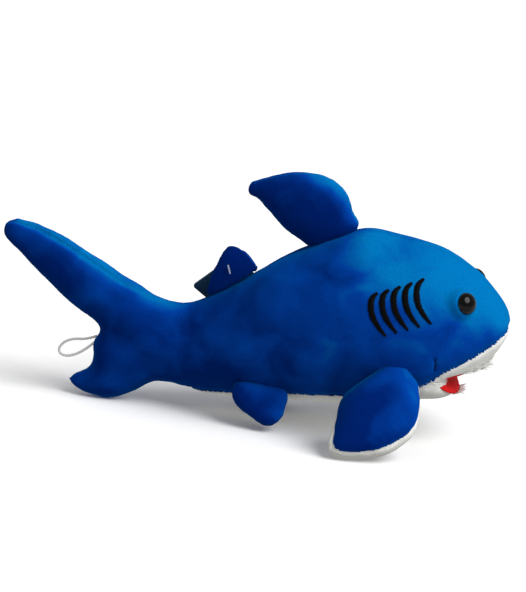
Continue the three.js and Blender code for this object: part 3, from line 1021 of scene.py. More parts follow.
def satin_tree() -> Tree:
    """Threads laid side by side across a path, as in satin stitch.

    The path is a line of points with the surface's direction in "out" and half the stitch's width in "half".

    Returns:
        The tree.
    """
    sizes = {
        "Spacing": ("NodeSocketFloat", 0.45 * MM),
        "Thread Radius": ("NodeSocketFloat", 0.26 * MM),
        "Arch": ("NodeSocketFloat", 0.5 * MM),
        "Uneven": ("NodeSocketFloat", 0.12),
        "Seed": ("NodeSocketInt", SEED),
        "Material": ("NodeSocketMaterial", None),
    }
    tree, given = geometry_tree("satin_stitch", sizes)
    tangent = add_node(tree, "GeometryNodeInputTangent").outputs["Tangent"]
    out = of_path(tree, "out", "FLOAT_VECTOR")
    across = vector_of(tree, "CROSS_PRODUCT", out, tangent)
    align = "FunctionNodeAlignRotationToVector"
    first = add_node(tree, align, {"axis": "X"}, {"Vector": across}).outputs["Rotation"]
    turn = add_node(tree, align, {"axis": "Z", "pivot_axis": "X"}, {"Rotation": first, "Vector": out})
    least = reckoned(tree, "SUBTRACT", 1.0, given.outputs["Uneven"])
    most = reckoned(tree, "ADD", 1.0, given.outputs["Uneven"])
    share = chance(tree, least, most, given.outputs["Seed"])
    reach = reckoned(tree, "MULTIPLY", of_path(tree, "half", "FLOAT"), share)
    top = on_axes(tree, 0.0, 0.0, given.outputs["Arch"])
    bow = {"Resolution": 5, "Start": (-1, 0, 0), "Middle": top, "End": (1, 0, 0)}
    ring = {"Resolution": 6, "Radius": given.outputs["Thread Radius"]}
    rows = {"Points": even_line(tree, given), "Rotation": turn.outputs["Rotation"]}
    plant(tree, given, bow, ring, rows | {"Scale": on_axes(tree, reach, 1.0, 1.0)})
    return tree


def fibre_tree() -> Tree:
    """Bent, tapered fibres that stand along a path, as on a brushed edge or torn felt.

    The path is a line of points with the fibres' direction in "lean" and their length share in "half".

    Returns:
        The tree.
    """
    sizes = {
        "Spacing": ("NodeSocketFloat", 0.5 * MM),
        "Length": ("NodeSocketFloat", 2.0 * MM),
        "Radius": ("NodeSocketFloat", 0.2 * MM),
        "Bend": ("NodeSocketFloat", 0.35),
        "Spread": ("NodeSocketFloat", 0.5),
        "Seed": ("NodeSocketInt", SEED),
        "Material": ("NodeSocketMaterial", None),
    }
    tree, given = geometry_tree("loose_fibres", sizes)
    seed, length = given.outputs["Seed"], given.outputs["Length"]
    inputs = {0: (-1, -1, -1), 1: (1, 1, 1), "Seed": seed}
    stray = add_node(tree, "FunctionNodeRandomValue", {"data_type": "FLOAT_VECTOR"}, inputs).outputs[0]
    spread = vector_of(tree, "SCALE", stray, given.outputs["Spread"])
    way = vector_of(tree, "ADD", of_path(tree, "lean", "FLOAT_VECTOR"), spread)
    turn = add_node(tree, "FunctionNodeAlignRotationToVector", {"axis": "Z"}, {"Vector": way})
    share = chance(tree, 0.55, 1.15, reckoned(tree, "ADD", seed, 1.0))
    size = reckoned(tree, "MULTIPLY", of_path(tree, "half", "FLOAT"), share)
    tip = on_axes(tree, reckoned(tree, "MULTIPLY", length, given.outputs["Bend"]), 0.0, length)
    middle = on_axes(tree, 0.0, 0.0, reckoned(tree, "MULTIPLY", length, 0.6))
    along = add_node(tree, "GeometryNodeSplineParameter").outputs["Factor"]
    bow = {"Resolution": 4, "Start": (0, 0, 0), "Middle": middle, "End": tip}
    ring = {"Resolution": 5, "Radius": given.outputs["Radius"]}
    rows = {"Points": even_line(tree, given), "Rotation": turn.outputs["Rotation"], "Scale": size}
    plant(tree, given, bow, ring, rows, spread_over(tree, along, 1.0, 0.2))
    return tree


@dataclass
class Sewing:
    """The rule-made threads and fibres, and the finishes that they take."""

    wardrobe: Wardrobe
    satin: Tree = field(default_factory=satin_tree)
    fibres: Tree = field(default_factory=fibre_tree)

    def along(
        self,
        name: str,
        tree: Tree,
        paths: Sequence[np.ndarray],
        ways: Sequence[np.ndarray],
        halves: Sequence[np.ndarray],
        slot: Slot,
        sizes: dict[str, float],
    ) -> bpy.types.Object:
        """Runs a tree along paths and returns the plain result.

        Args:
            name: the piece's name.
            tree: satin or fibres.
            paths: rows of points in millimetres, one array for each path.
            ways: a direction for each point, out of the surface for satin and along the fibre for fibres.
            halves: half the stitch's width in metres, or the fibre's length share, for each point.
            slot: its finish.
            sizes: values for the tree's inputs by name.

        Returns:
            The piece.
        """
        points = np.vstack(paths)
        edges = []
        start = 0
        for path in paths:
            edges += [(start + i, start + i + 1) for i in range(len(path) - 1)]
            start += len(path)
        mesh = bpy.data.meshes.new(name)
        mesh.from_pydata(place(points).tolist(), edges, [])
        for key in ("out", "lean"):
            layer = mesh.attributes.new(key, "FLOAT_VECTOR", "POINT")
            layer.data.foreach_set("vector", np.vstack(ways).astype(np.float32).ravel())
        layer = mesh.attributes.new("half", "FLOAT", "POINT")
        layer.data.foreach_set("value", np.concatenate(halves).astype(np.float32))
        source = new_object(name, mesh)
        rule = source.modifiers.new("rule", "NODES")
        rule.node_group = tree
        sockets = {s.name: s.identifier for s in tree.interface.items_tree if s.in_out == "INPUT"}
        for key, value in sizes.items():
            rule[sockets[key]] = value
        rule[sockets["Material"]] = self.wardrobe[slot]
        piece = baked(source, name)
        for key in [a.name for a in piece.data.attributes if a.name in ("out", "lean", "half")]:
            piece.data.attributes.remove(piece.data.attributes[key])
        return piece


# ---------------------------------------------------------------- frame helpers
@dataclass(frozen=True)
class Hinge:
    """A joint of the frame: the bodies it joins, its point and the way the child lies from it."""

    parent: str
    child: str
    at: Vector
    outward: Vector

    @staticmethod
    def named(name: str, outward: Point) -> "Hinge":
        """The frame's joint of that name, with the child's direction from it."""
        joint = next(j for j in frame["joints"] if j["name"] == name)
        return Hinge(joint["parent"], joint["child"], Vector(joint["pos_m"]), Vector(outward).normalized())

    def blend(self, piece: bpy.types.Object, before: float, after: float) -> None:
        """Bends a piece over the joint.

        Args:
            piece: the piece.
            before: how far before the joint the bend starts, in millimetres.
            after: how far after it the bend ends.
        """
        start = self.at - self.outward * before * MM
        end = self.at + self.outward * after * MM
        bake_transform(piece, self.parent, self.child, start=tuple(start), end=tuple(end))


def dress(piece: bpy.types.Object, body: str | None = None, nodes: Sequence[str] = ()) -> None:
    """Gives a piece its place in the frame.

    Args:
        piece: the piece.
        body: the body it rides on, or None for a piece that is blended over a joint later.
        nodes: the CAD nodes it stands for.
    """
    if body is not None:
        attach(piece, body)
    if nodes:
        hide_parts(*nodes)
    log.info("%s: %d faces", piece.name, len(piece.data.polygons))


# ---------------------------------------------------------------- torso, head and tail
@dataclass
class Skin:
    """The blue and white skin of head, torso and tail, sewn from panels over one filling."""

    sewing: Sewing
    wardrobe: Wardrobe
    spine: Sequence[Sequence[float]] = (
        (-83.6, 0, 117.6, 3.5, 62, 2.5),
        (-78.5, 0, 115, 8.6, 62, 6.5),
        (-68, 0, 110.5, 12.4, 62, 8.4),
        (-50, 0, 100.6, 17.2, 62, 10),
        (-19, 0, 80.5, 20.8, 62, 12),
        (-4, 0, 72, 20.6, 62, 12.4),
        (9, 0, 62, 25, 74, 13.4),
        (27, 0, 48.5, 31.3, 86, 15.4),
        (45, 0, 46.4, 30.6, 90, 17.4),
        (62, 0, 46.8, 34.4, 90, 22),
        (84, 0, 53.5, 41.4, 90, 31),
        (110, 0, 64, 49.6, 90, 42),
        (140, 0, 74, 57.5, 90, 51),
        (170, 0, 81.5, 62.6, 90, 56),
        (190, 0, 82.5, 60.2, 90, 56.5),
    )
    lower_lobe: Sequence[Sequence[float]] = (
        (36, 0, 46, 14, 110, 9),
        (24, 0, 40, 24, 115, 13.5),
        (5.8, 0, 26.6, 25.2, 137, 13.2),
        (-2.5, 0, 13.8, 16.8, 126, 11.4),
        (-13, 0, 9.8, 10.6, 112, 8.8),
        (-22.6, 0, 10.2, 6.6, 98, 5.8),
        (-29.4, 0, 10.4, 2.0, 90, 2.0),
    )
    head: tuple[float, float, float, float, float] = (190, 90, 60.2, 56.5, 82.5)
    snout_rise: float = 5.0
    throat: tuple[float, float] = (232.4, 49.6)
    palate_slope: float = 0.27
    jaw_slope: float = -0.8
    mouth_back: float = 231.0
    lip_height: float = 49.2
    jaw_at: Point = (222.5, 0, 45)
    jaw_half: Point = (28, 39, 16)
    seam: Sequence[Sequence[float]] = (
        (20, -6),
        (50, 10),
        (58, 14.6),
        (72, 15.6),
        (90, 19.0),
        (133, 26.2),
        (170, 30),
        (200, 37),
        (223, 45.0),
        (238, 56.6),
        (258, 69.2),
        (272, 79.4),
        (292, 100),
    )
    eye_at: Point = (248.2, -37.2, 108)
    eye_axis: Point = (0.7, -0.63, 0.34)
    eye_radius: float = 7.7
    eye_lift: float = 1.6
    twist: float = 6.0
    dart: Sequence[Sequence[float]] = ((232.4, 59.5), (232.8, 64.0), (231.9, 68.5))
    mesh: bpy.types.Mesh | None = None
    tree: BVHTree | None = None

    def form(self) -> OvalForm:
        """The loft from the tip of the tail to the tip of the snout."""
        start, length, high, wide, middle = self.head
        rows = [list(r) for r in self.spine]
        for share in (0.3, 0.55, 0.75, 0.89, 0.97, 0.997):
            left = 1 - share * share
            z = middle + self.snout_rise * share * share
            above, below = high * left**0.72, high * left**0.67
            middle_z, half = z + (above - below) / 2, (above + below) / 2
            rows.append([start + length * share, 0, middle_z, half, 90, wide * left**0.5])
        return OvalForm(rows)

    def palate_z(self, x: np.ndarray) -> np.ndarray:
        """Height of the palate over a point."""
        return self.throat[1] + self.palate_slope * (x - self.throat[0])

    def jaw_z(self, x: np.ndarray) -> np.ndarray:
        """Height of the chin's top at a point."""
        return self.throat[1] + self.jaw_slope * (x - self.throat[0])

    def seam_line(self, points: np.ndarray) -> np.ndarray:
        """Positive above the seam of blue and white, negative below."""
        return points[:, 2] - self.seam_z(points[:, 0])

    def seam_z(self, x: np.ndarray) -> np.ndarray:
        """Height of the seam of blue and white at a point along the toy."""
        rows = np.array(self.seam)
        at = np.linspace(0, 1, 400)
        smooth = catmull_rom(rows, at)
        return np.interp(x, smooth[:, 0], smooth[:, 1])

    def ridge_line(self, points: np.ndarray) -> np.ndarray:
        """Negative on the shark's right, positive on its left; the seam twists a little along the tail."""
        middle = np.array([(s[0], s[2]) for s in self.spine if s[0] < 60])
        height = np.interp(points[:, 0], middle[:, 0], middle[:, 1])
        over = np.clip((points[:, 2] - height) / 16, -1, 1)
        tail = 1 - eased((points[:, 0] - 5) / 45)
        return points[:, 1] + self.twist * tail * over

    def eye_frame(self, side: Side) -> tuple[np.ndarray, np.ndarray]:
        """The eye's seat in millimetres and its axis, on one side."""
        axis = np.array(self.eye_axis, float)
        axis /= np.linalg.norm(axis)
        seat = np.array(self.eye_at, float) + axis * self.eye_lift
        if side is Side.LEFT:
            seat[1], axis[1] = -seat[1], -axis[1]
        return seat, axis

    def cage(self) -> bpy.types.Mesh:
        """The closed forms that the skin is stuffed from, with the mouth cut out."""
        grow = -0.4
        upper = new_object("upper_form", self.form().mesh("upper_form", 220, 72, grow))
        x0, z0 = self.throat
        x1 = 300.0
        corners = [(x0, z0), (x1, z0 + self.palate_slope * (x1 - x0)), (x1, -60), (x0, -60)]
        points = np.array([(x, y, z) for y in (-90, 90) for x, z in corners], float)
        faces = [(0, 1, 2, 3), (7, 6, 5, 4)] + [(i, i + 4, (i + 1) % 4 + 4, (i + 1) % 4) for i in range(4)]
        wedge_mesh = new_mesh("mouth_cut", points, faces)
        face_out(wedge_mesh)
        wedge = new_object("mouth_cut", wedge_mesh)
        cut = upper.modifiers.new("mouth", "BOOLEAN")
        cut.operation = "DIFFERENCE"
        cut.solver = "EXACT"
        cut.object = wedge
        head = evaluated(upper)
        bpy.data.objects.remove(upper)
        bpy.data.objects.remove(wedge)
        lobe = OvalForm(self.lower_lobe).mesh("lobe", 60, 40, grow)
        return joined("skin_cage", [head, self.jaw(grow), lobe])

    def jaw(self, grow: float) -> bpy.types.Mesh:
        """The chin: an egg cut level with its top."""
        bm = bmesh.new()
        bmesh.ops.create_uvsphere(bm, u_segments=64, v_segments=40, radius=1.0)
        half = np.array(self.jaw_half) + grow
        for vertex in bm.verts:
            spot = np.array(vertex.co) * half + self.jaw_at
            vertex.co = Vector(place(spot[None])[0])
        top = Vector(place(np.array([[self.throat[0], 0, self.throat[1]]]))[0])
        normal = Vector((-self.jaw_slope, 0, 1)).normalized()
        geometry = bm.verts[:] + bm.edges[:] + bm.faces[:]
        found = bmesh.ops.bisect_plane(bm, geom=geometry, plane_co=top, plane_no=normal, clear_outer=True)
        rim = [e for e in found["geom_cut"] if isinstance(e, bmesh.types.BMEdge)]
        bmesh.ops.contextual_create(bm, geom=rim)
        bmesh.ops.recalc_face_normals(bm, faces=bm.faces)
        mesh = bpy.data.meshes.new("jaw")
        bm.to_mesh(mesh)
        bm.free()
        return mesh

    def held(self, points: np.ndarray) -> np.ndarray:
        """Where the cloth can't swell: the mouth and the thin edges of the tail."""
        x, z = points[:, 0], points[:, 2]
        centre = self.throat[1]
        inside = (x > 230.4) & (z < self.palate_z(x) + 4) & (z > self.jaw_z(x) - 4)
        floor = 1 - eased((z - 1.0) / 4.0)
        near = np.where(inside, 1.0, 0.0)
        low_lobe = (x < 40) * floor
        return np.maximum(near, low_lobe * (z < centre))

    def sew(self) -> None:
        """Makes the skin, shapes it and parts it into its panels."""
        filling = Filling(voxel=2.6, pressure=4.0, swell=2.2, frames=14, smooth=5)
        mesh = filling.skin("skin", self.cage(), self.held)
        cut_along(mesh, self.ridge_line)
        cut_along(mesh, self.seam_line)
        self.shape(mesh)
        self.mesh = mesh
        self.tree = self.surface()
        self.panels()

    def surface(self) -> BVHTree:
        """The skin as a tree for finding points on it, in millimetres."""
        points = points_of(self.mesh)
        faces = [tuple(f.vertices) for f in self.mesh.polygons]
        return BVHTree.FromPolygons([tuple(p) for p in points], faces)

    def shape(self, mesh: bpy.types.Mesh) -> None:
        """Seams, gathers, the dents round the eyes, and the dart, as moves of the skin's points."""
        points = points_of(mesh)
        normal = normals_of(mesh)
        x = points[:, 0]
        belly = seam_distance(mesh, points, self.seam_line)
        ridge = seam_distance(mesh, points, self.ridge_line)
        blue = self.seam_line(points) > -0.5
        deep = rolled_in(belly, 1.7, 4.2)
        ridge_depth = 0.5 + 0.4 * eased((x + 84) / 20) + 1.5 * eased((60 - x) / 30) * eased((x + 82) / 24)
        deep = np.maximum(deep, np.where(blue, rolled_in(ridge, 1.0, 3.2) * ridge_depth, 0.0))
        lift = puckers(points, belly, 0.9, 7.0, 1.0)
        lift += np.where(blue, puckers(points, ridge, 0.6, 6.0, 2.0), 0.0)
        lift += 1.0 * speckle(points, 34.0, 3.0) + 0.45 * speckle(points, 15.0, 4.0)
        z = points[:, 2]
        in_mouth = (x > self.mouth_back) & (z < self.palate_z(x) + 1.5) & (z > self.jaw_z(x) - 1.5)
        on_floor = points[:, 2] < 2.5
        lift = np.where(in_mouth | on_floor, 0.0, lift)
        deep = np.where(in_mouth | on_floor, 0.0, deep)
        points = points + normal * (lift - deep)[:, None]
        points = self.evened(mesh, points, np.where(in_mouth, 99.0, belly))
        points = self.evened(mesh, points, np.where(blue, ridge, 99.0))
        for side in Side:
            points = self.dent_eye(points, side)
            points = self.take_dart(points, normal, side)
        points[:, 2] = np.maximum(points[:, 2], 0.05)
        set_points(mesh, points)
        # painted highlight along the top seam of the tail, added to the skin's painted light and shade
        near = np.exp(-((ridge / 2.6) ** 2)) * blue * 0.5 * eased((60 - x) / 30)
        store_nap(mesh, nap_at(points, normal, near, 0.0))

    @staticmethod
    def evened(mesh: bpy.types.Mesh, points: np.ndarray, distance: np.ndarray) -> np.ndarray:
        """Evens the cloth beside a seam, but leaves the seam itself where it is."""
        share = ((distance > 0.05) & (distance < 3.5)).astype(float)[:, None] * 0.8
        for _ in range(3):
            points = points + share * (smoothed(mesh, points, 1, 1.0) - points)
        return points

    def dent_eye(self, points: np.ndarray, side: Side) -> np.ndarray:
        """Pulls the cloth flat under an eye, with a soft rim round it."""
        seat, axis = self.eye_frame(side)
        along = (points - seat) @ axis
        from_axis = np.linalg.norm(points - seat - along[:, None] * axis, axis=1)
        close = (np.abs(along) < 14) & (points[:, 1] * side.value > 0)
        pulled = (1 - eased((from_axis - 7.6) / 4.6)) * close
        target = np.where(from_axis < self.eye_radius, -0.5, -0.2)
        points = points + axis * (pulled * (target - along))[:, None]
        rim = 0.5 * np.exp(-(((from_axis - 11.5) / 2.2) ** 2)) * close
        return points + axis * rim[:, None]

    def take_dart(self, points: np.ndarray, normal: np.ndarray, side: Side) -> np.ndarray:
        """Folds the short cheek dart into the cloth above the corner of the mouth."""
        rows = np.array(self.dart)
        z = np.clip(points[:, 2], rows[0, 1], rows[-1, 1])
        middle = np.interp(z, rows[:, 1], rows[:, 0])
        away = np.hypot(points[:, 0] - middle, points[:, 2] - z)
        close = (points[:, 1] * side.value > 15) & (away < 6)
        return points - normal * (1.3 * np.exp(-((away / 1.3) ** 2)) * close)[:, None]

    def panels(self) -> None:
        """Parts the skin into the two flanks, the belly with the chin, and the strip under the snout."""
        for side in Side:
            nodes = [f"side_panel_{side.label}", f"tail_panel_{side.label}"]
            if side is Side.RIGHT:
                nodes += ["tail_stuffing"]
            sides = ((self.seam_line, 1), (self.ridge_line, side.value))
            self.panel(f"flank_and_tail_{side.label}", Slot.BLUE, sides, nodes, True)
        chin = ((self.seam_line, -1), (self.lip_line, -1))
        self.panel("belly_and_chin", Slot.WHITE, chin, ["belly_panel", "body_stuffing"], True)
        snout = ((self.seam_line, -1), (self.lip_line, 1))
        self.panel("snout_underside", Slot.WHITE, snout, ["snout_underside_panel"], False)

    def lip_line(self, points: np.ndarray) -> np.ndarray:
        """Positive on the snout's side of the mouth, negative on the chin's and behind it."""
        return np.where(points[:, 0] > self.mouth_back, points[:, 2] - self.lip_height, -1.0)

    def panel(
        self,
        name: str,
        slot: Slot,
        sides: Sequence[tuple[Field, int]],
        nodes: Sequence[str],
        bends: bool,
    ) -> None:
        """Parts one panel from the skin, thickens it and gives it its place in the frame.

        Args:
            name: the panel's name.
            slot: its finish.
            sides: see parted.
            nodes: the CAD nodes it stands for.
            bends: whether it runs over the tail's joint.
        """
        piece = walled(new_object(name, parted(self.mesh, name, *sides), self.wardrobe[slot]))
        dress(piece, None if bends else "torso", nodes)
        if bends:
            Hinge.named("tail_bend", (-1, 0, 0)).blend(piece, 20, 20)

    def on_side(self, spots: np.ndarray, side: Side) -> tuple[np.ndarray, np.ndarray]:
        """Finds places on the skin straight in from the side.

        Args:
            spots: rows of X and Z in millimetres.
            side: which side to look from.

        Returns:
            The points and the skin's directions there.
        """
        found, ways = [], []
        inward = Vector((0, -side.value, 0))
        for x, z in spots:
            hit, normal, _, _ = self.tree.ray_cast(Vector((x, side.value * 150.0, z)), inward)
            if hit is None:
                continue
            found.append(hit)
            ways.append(normal)
        ways = np.array(ways)
        if len(ways) > 4:
            for _ in range(2):
                ways[1:-1] = (ways[:-2] + ways[1:-1] + ways[2:]) / 3
        return np.array(found), ways / np.linalg.norm(ways, axis=1)[:, None]

    def seam_fringe(self) -> None:
        """Blue pile that hangs over the white along the seam."""
        for side in Side:
            x = np.arange(66, 276, 1.2)
            spots = np.stack([x, self.seam_z(x) + 0.25], axis=1)
            points, ways = self.on_side(spots, side)
            lean = ways * 0.9 + np.array([-0.25, 0, -0.9])
            share = 0.75 + 0.35 * speckle(points, 3.0, 5.0)
            piece = self.sewing.along(
                f"seam_pile_{side.label}",
                self.sewing.fibres,
                [points - ways * 0.2],
                [lean],
                [share],
                Slot.BLUE,
                {"Spacing": 0.34 * MM, "Length": 0.85 * MM, "Radius": 0.18 * MM, "Bend": 0.4, "Spread": 0.35},
            )
            # the fringe gets painted light and shade like the skin
            store_nap(piece.data, nap_at(points_of(piece.data), normals_of(piece.data), 0.0, 0.0))
            dress(piece, "torso")

    def dart_stitches(self) -> None:
        """The short closed seam of the cheek dart."""
        rows = np.array(self.dart)
        spots = catmull_rom(rows, np.linspace(0, 1, 24))
        for side in Side:
            points, ways = self.on_side(spots, side)
            piece = self.sewing.along(
                f"dart_stitching_{side.label}",
                self.sewing.satin,
                [points + ways * 0.1],
                [ways],
                [np.full(len(points), 0.35 * MM)],
                Slot.THREAD,
                {"Spacing": 0.5 * MM, "Thread Radius": 0.16 * MM, "Arch": 0.2 * MM, "Uneven": 0.3},
            )
            dress(piece, "torso")

    def gills(self, arc: Sequence[Point], widths: Sequence[float], step: Point, count: int = 5) -> None:
        """Satin-stitched gills on both cheeks.

        Args:
            arc: the back edge of the rearmost gill, as X and Z in millimetres.
            widths: its width at each of those points.
            step: from one gill to the next in front, as X and Z.
            count: how many gills a side has.
        """
        at = np.linspace(0, 1, 60)
        rows = np.column_stack([np.array(arc), np.array(widths)])
        smooth = catmull_rom(rows, at)
        for side in Side:
            for number in range(count):
                width = np.maximum(smooth[:, 2], 0.8)
                spots = smooth[:, :2] + np.array(step) * number + np.stack([width / 2, width * 0.15], axis=1)
                points, ways = self.on_side(spots, side)
                name = f"gill_stitching_{side.label}_{number + 1}"
                piece = self.sewing.along(
                    name,
                    self.sewing.satin,
                    [points + ways * 0.25],
                    [ways],
                    [width / 2 * MM],
                    Slot.THREAD,
                    {
                        "Spacing": 0.42 * MM,
                        "Thread Radius": 0.3 * MM,
                        "Arch": 0.9 * MM,
                        "Uneven": 0.12,
                        "Seed": SEED + number,
                    },
                )
                dress(piece, "torso", [f"gill_stitch_{side.label}_{number + 1}"])


# ---------------------------------------------------------------- mouth
@dataclass
class Mouth:
    """The red lining and the frayed felt teeth."""

    skin: Skin
    sewing: Sewing
    wardrobe: Wardrobe

    def outline(self, top: bool, inset: float) -> np.ndarray:
        """The lining's edge in plan from one corner of the mouth round the front to the other, as X and Y."""
        angle = np.linspace(-np.pi / 2, np.pi / 2, 61)
        at = self.skin.throat[0]
        length, width = (29.6 - inset, 35.4 - inset) if top else (16.6 - inset, 35.2 - inset)
        return np.stack([at + length * np.cos(angle), width * np.sin(angle)], axis=1)

    def lining(self, name: str, top: bool, node: str) -> bpy.types.Object:
        """One lining: a shallow sheet over the palate or the chin, its edge rolled into the lip."""
        skin = self.skin
        rim = self.outline(top, 1.6)
        back = np.array([skin.throat[0], 0.0])
        rings = 26
        rows = []
        for i in range(rings):
            share = (i / (rings - 1)) ** 0.9
            spots = back + (rim - back) * share
            z = skin.palate_z(spots[:, 0]) if top else skin.jaw_z(spots[:, 0])
            proud = 0.75 - 1.5 * max(0.0, (share - 0.93) / 0.07)
            crease = 0.35 * speckle(np.column_stack([spots, 0 * z]), 9.0, 6.0)
            z = z - proud - crease if top else z + 1.4 * proud + crease
            rows.append(np.column_stack([spots, z]))
        grid = np.array(rows)
        count = len(rim)
        faces = []
        for i in range(rings - 1):
            for j in range(count - 1):
                a = i * count + j
                faces.append((a, a + 1, a + count + 1, a + count))
        mesh = new_mesh(name, grid.reshape(-1, 3), faces)
        bm = bmesh.new()
        bm.from_mesh(mesh)
        bmesh.ops.remove_doubles(bm, verts=bm.verts, dist=0.02 * MM)
        bmesh.ops.recalc_face_normals(bm, faces=bm.faces)
        bm.faces.ensure_lookup_table()
        upward = sum(f.normal.z * f.calc_area() for f in bm.faces) > 0
        if upward == top:
            bmesh.ops.reverse_faces(bm, faces=bm.faces)
        bm.to_mesh(mesh)
        bm.free()
        piece = walled(new_object(name, mesh, self.wardrobe[Slot.RED]), 0.6)
        dress(piece, "torso", [node])
        return piece

    def teeth(self, name: str, top: bool, node: str) -> bpy.types.Object:
        """A frayed strip: torn felt points round the front of a lip, each a bundle of bent slivers."""
        rng = np.random.default_rng(SEED + (1 if top else 2))
        skin = self.skin
        reach = 46 if top else 17
        count = 17 if top else 6
        angles = np.radians(np.linspace(-reach, reach, count))
        at, length, width = (236.0, 25.4, 33.2) if top else (232.4, 15.8, 34.2)
        meshes = []
        for angle in angles:
            foot = np.array([at + length * np.cos(angle), width * np.sin(angle), 0.0])
            foot[2] = skin.palate_z(foot[0]) + 0.2 if top else skin.jaw_z(foot[0]) - 0.4
            outward = np.array([np.cos(angle) / length, np.sin(angle) / width, 0.0])
            outward /= np.linalg.norm(outward)
            along = np.array([-outward[1], outward[0], 0.0])
            front = np.cos(angle)
            tall = (1.5 + 9.5 * front**4) if top else 5.2
            slivers = 4 if top else 2
            for _ in range(slivers):
                start = foot + along * rng.uniform(-1.6, 1.6) - outward * rng.uniform(0.3, 1.4)
                drop = rng.uniform(-0.3, 0.35) if top else rng.uniform(-0.1, 0.35)
                way = outward * rng.uniform(0.7, 1.1) + along * rng.uniform(-0.5, 0.5)
                way[2] += drop
                way /= np.linalg.norm(way)
                size = tall * rng.uniform(0.6, 1.15)
                curl = np.array([0, 0, rng.uniform(0.0, 0.5) if top else rng.uniform(-0.3, 0.4)])
                meshes.append(self.sliver(start, way, along, size, rng.uniform(2.0, 3.6), curl))
        piece = new_object(name, joined(name, meshes), self.wardrobe[Slot.FELT])
        dress(piece, "torso", [node])
        return piece

    @staticmethod
    def sliver(
        start: np.ndarray, way: np.ndarray, along: np.ndarray, size: float, wide: float, curl: np.ndarray
    ) -> bpy.types.Mesh:
        """One torn point of felt, 1 mm thick at its foot, closed.

        Args:
            start: the middle of its foot, in millimetres.
            way: where it points.
            along: the lip's direction at its foot.
            size: its length.
            wide: half its width at the foot.
            curl: how far its tip bends away, as a share of its length.

        Returns:
            The mesh.
        """
        thin = np.cross(way, along)
        thin /= np.linalg.norm(thin)
        flat = np.cross(thin, way)
        rings = []
        for share in np.linspace(0, 1, 7):
            middle = start + way * size * share + curl * size * share**2
            half = wide * (1 - share) ** 0.7 * (1 + 0.25 * math.sin(9 * share + start[1])) + 0.12
            deep = 0.5 * (1 - 0.7 * share)
            rings.append(middle + circle(flat * half, thin * deep, 8))
        return tube("sliver", np.array(rings))

    def fray(self) -> None:
        """Loose fibres of the torn strip at the front of the upper lip."""
        angles = np.radians(np.linspace(-42, 42, 70))
        x = 236 + 25.8 * np.cos(angles)
        y = 33.6 * np.sin(angles)
        z = self.skin.palate_z(x) - 0.2
        lean = np.stack([np.cos(angles), np.sin(angles), 0 * angles + 0.1], axis=1)
        piece = self.sewing.along(
            "upper_teeth_fray",
            self.sewing.fibres,
            [np.stack([x, y, z], axis=1)],
            [lean],
            [np.cos(angles) ** 4],
            Slot.FELT,
            {"Spacing": 2.6 * MM, "Length": 7.0 * MM, "Radius": 0.15 * MM, "Bend": 0.3, "Spread": 0.35},
        )
        dress(piece, "torso")

    def build(self) -> None:
        """Makes the whole mouth."""
        self.lining("palate", True, "palate_lining")
        self.lining("tongue", False, "tongue_lining")
        self.teeth("upper_teeth", True, "upper_teeth_strip")
        self.teeth("lower_teeth", False, "lower_teeth_strip")
        self.fray()


# ---------------------------------------------------------------- eyes
@dataclass
class Eyes:
    """Domed safety eyes on their shanks, with the washers behind the cloth."""

    skin: Skin
    wardrobe: Wardrobe
    radius: float = 7.7
    dome: float = 5.2
    shank: float = 2.0
    depth: float = 14.0

    def profile(self) -> list[tuple[float, float]]:
        """The eye's outline from the top of the dome down its shank, as radius and height in millimetres."""
        rows = []
        for i in range(17):
            angle = math.pi / 2 * i / 16
            rows.append((self.radius * math.sin(angle) * 0.985, 0.55 + (self.dome - 0.55) * math.cos(angle)))
        rows[0] = (0.0, self.dome)
        rows += [(self.radius, 0.4), (self.radius, 0.12)]
        rows += [(self.radius - 0.35, -0.15), (self.shank + 0.6, -0.3)]
        ribs = [(self.shank, -1.0 - 0.8 * i) for i in range(16)]
        rows += [(r - (0.2 if i % 2 else 0.0), z) for i, (r, z) in enumerate(ribs)]
        rows += [(self.shank - 0.5, -self.depth), (0.0, -self.depth)]
        return rows

    def build(self) -> None:
        """Turns both eyes and their washers."""
        washer = [(7.0, 0.0), (7.4, -0.4), (7.4, -1.1), (7.0, -1.5)]
        washer = [(self.shank, 0.0), *washer, (self.shank, -1.5), (self.shank, 0.0)]
        behind = 7.0  # from the eye's seat to the washer, in millimetres
        for side in Side:
            seat, axis = self.skin.eye_frame(side)
            name = f"safety_eye_{side.label}"
            piece = new_object(name, turned(name, self.profile(), seat, axis), self.wardrobe[Slot.EYE])
            dress(piece, "torso", [f"eye_{side.label}"])
            name = f"lock_washer_{side.label}"
            mesh = turned(name, washer, seat - axis * behind, axis, 48)
            piece = new_object(name, mesh, self.wardrobe[Slot.WASHER])
            dress(piece, "torso", [f"eye_washer_{side.label}"])


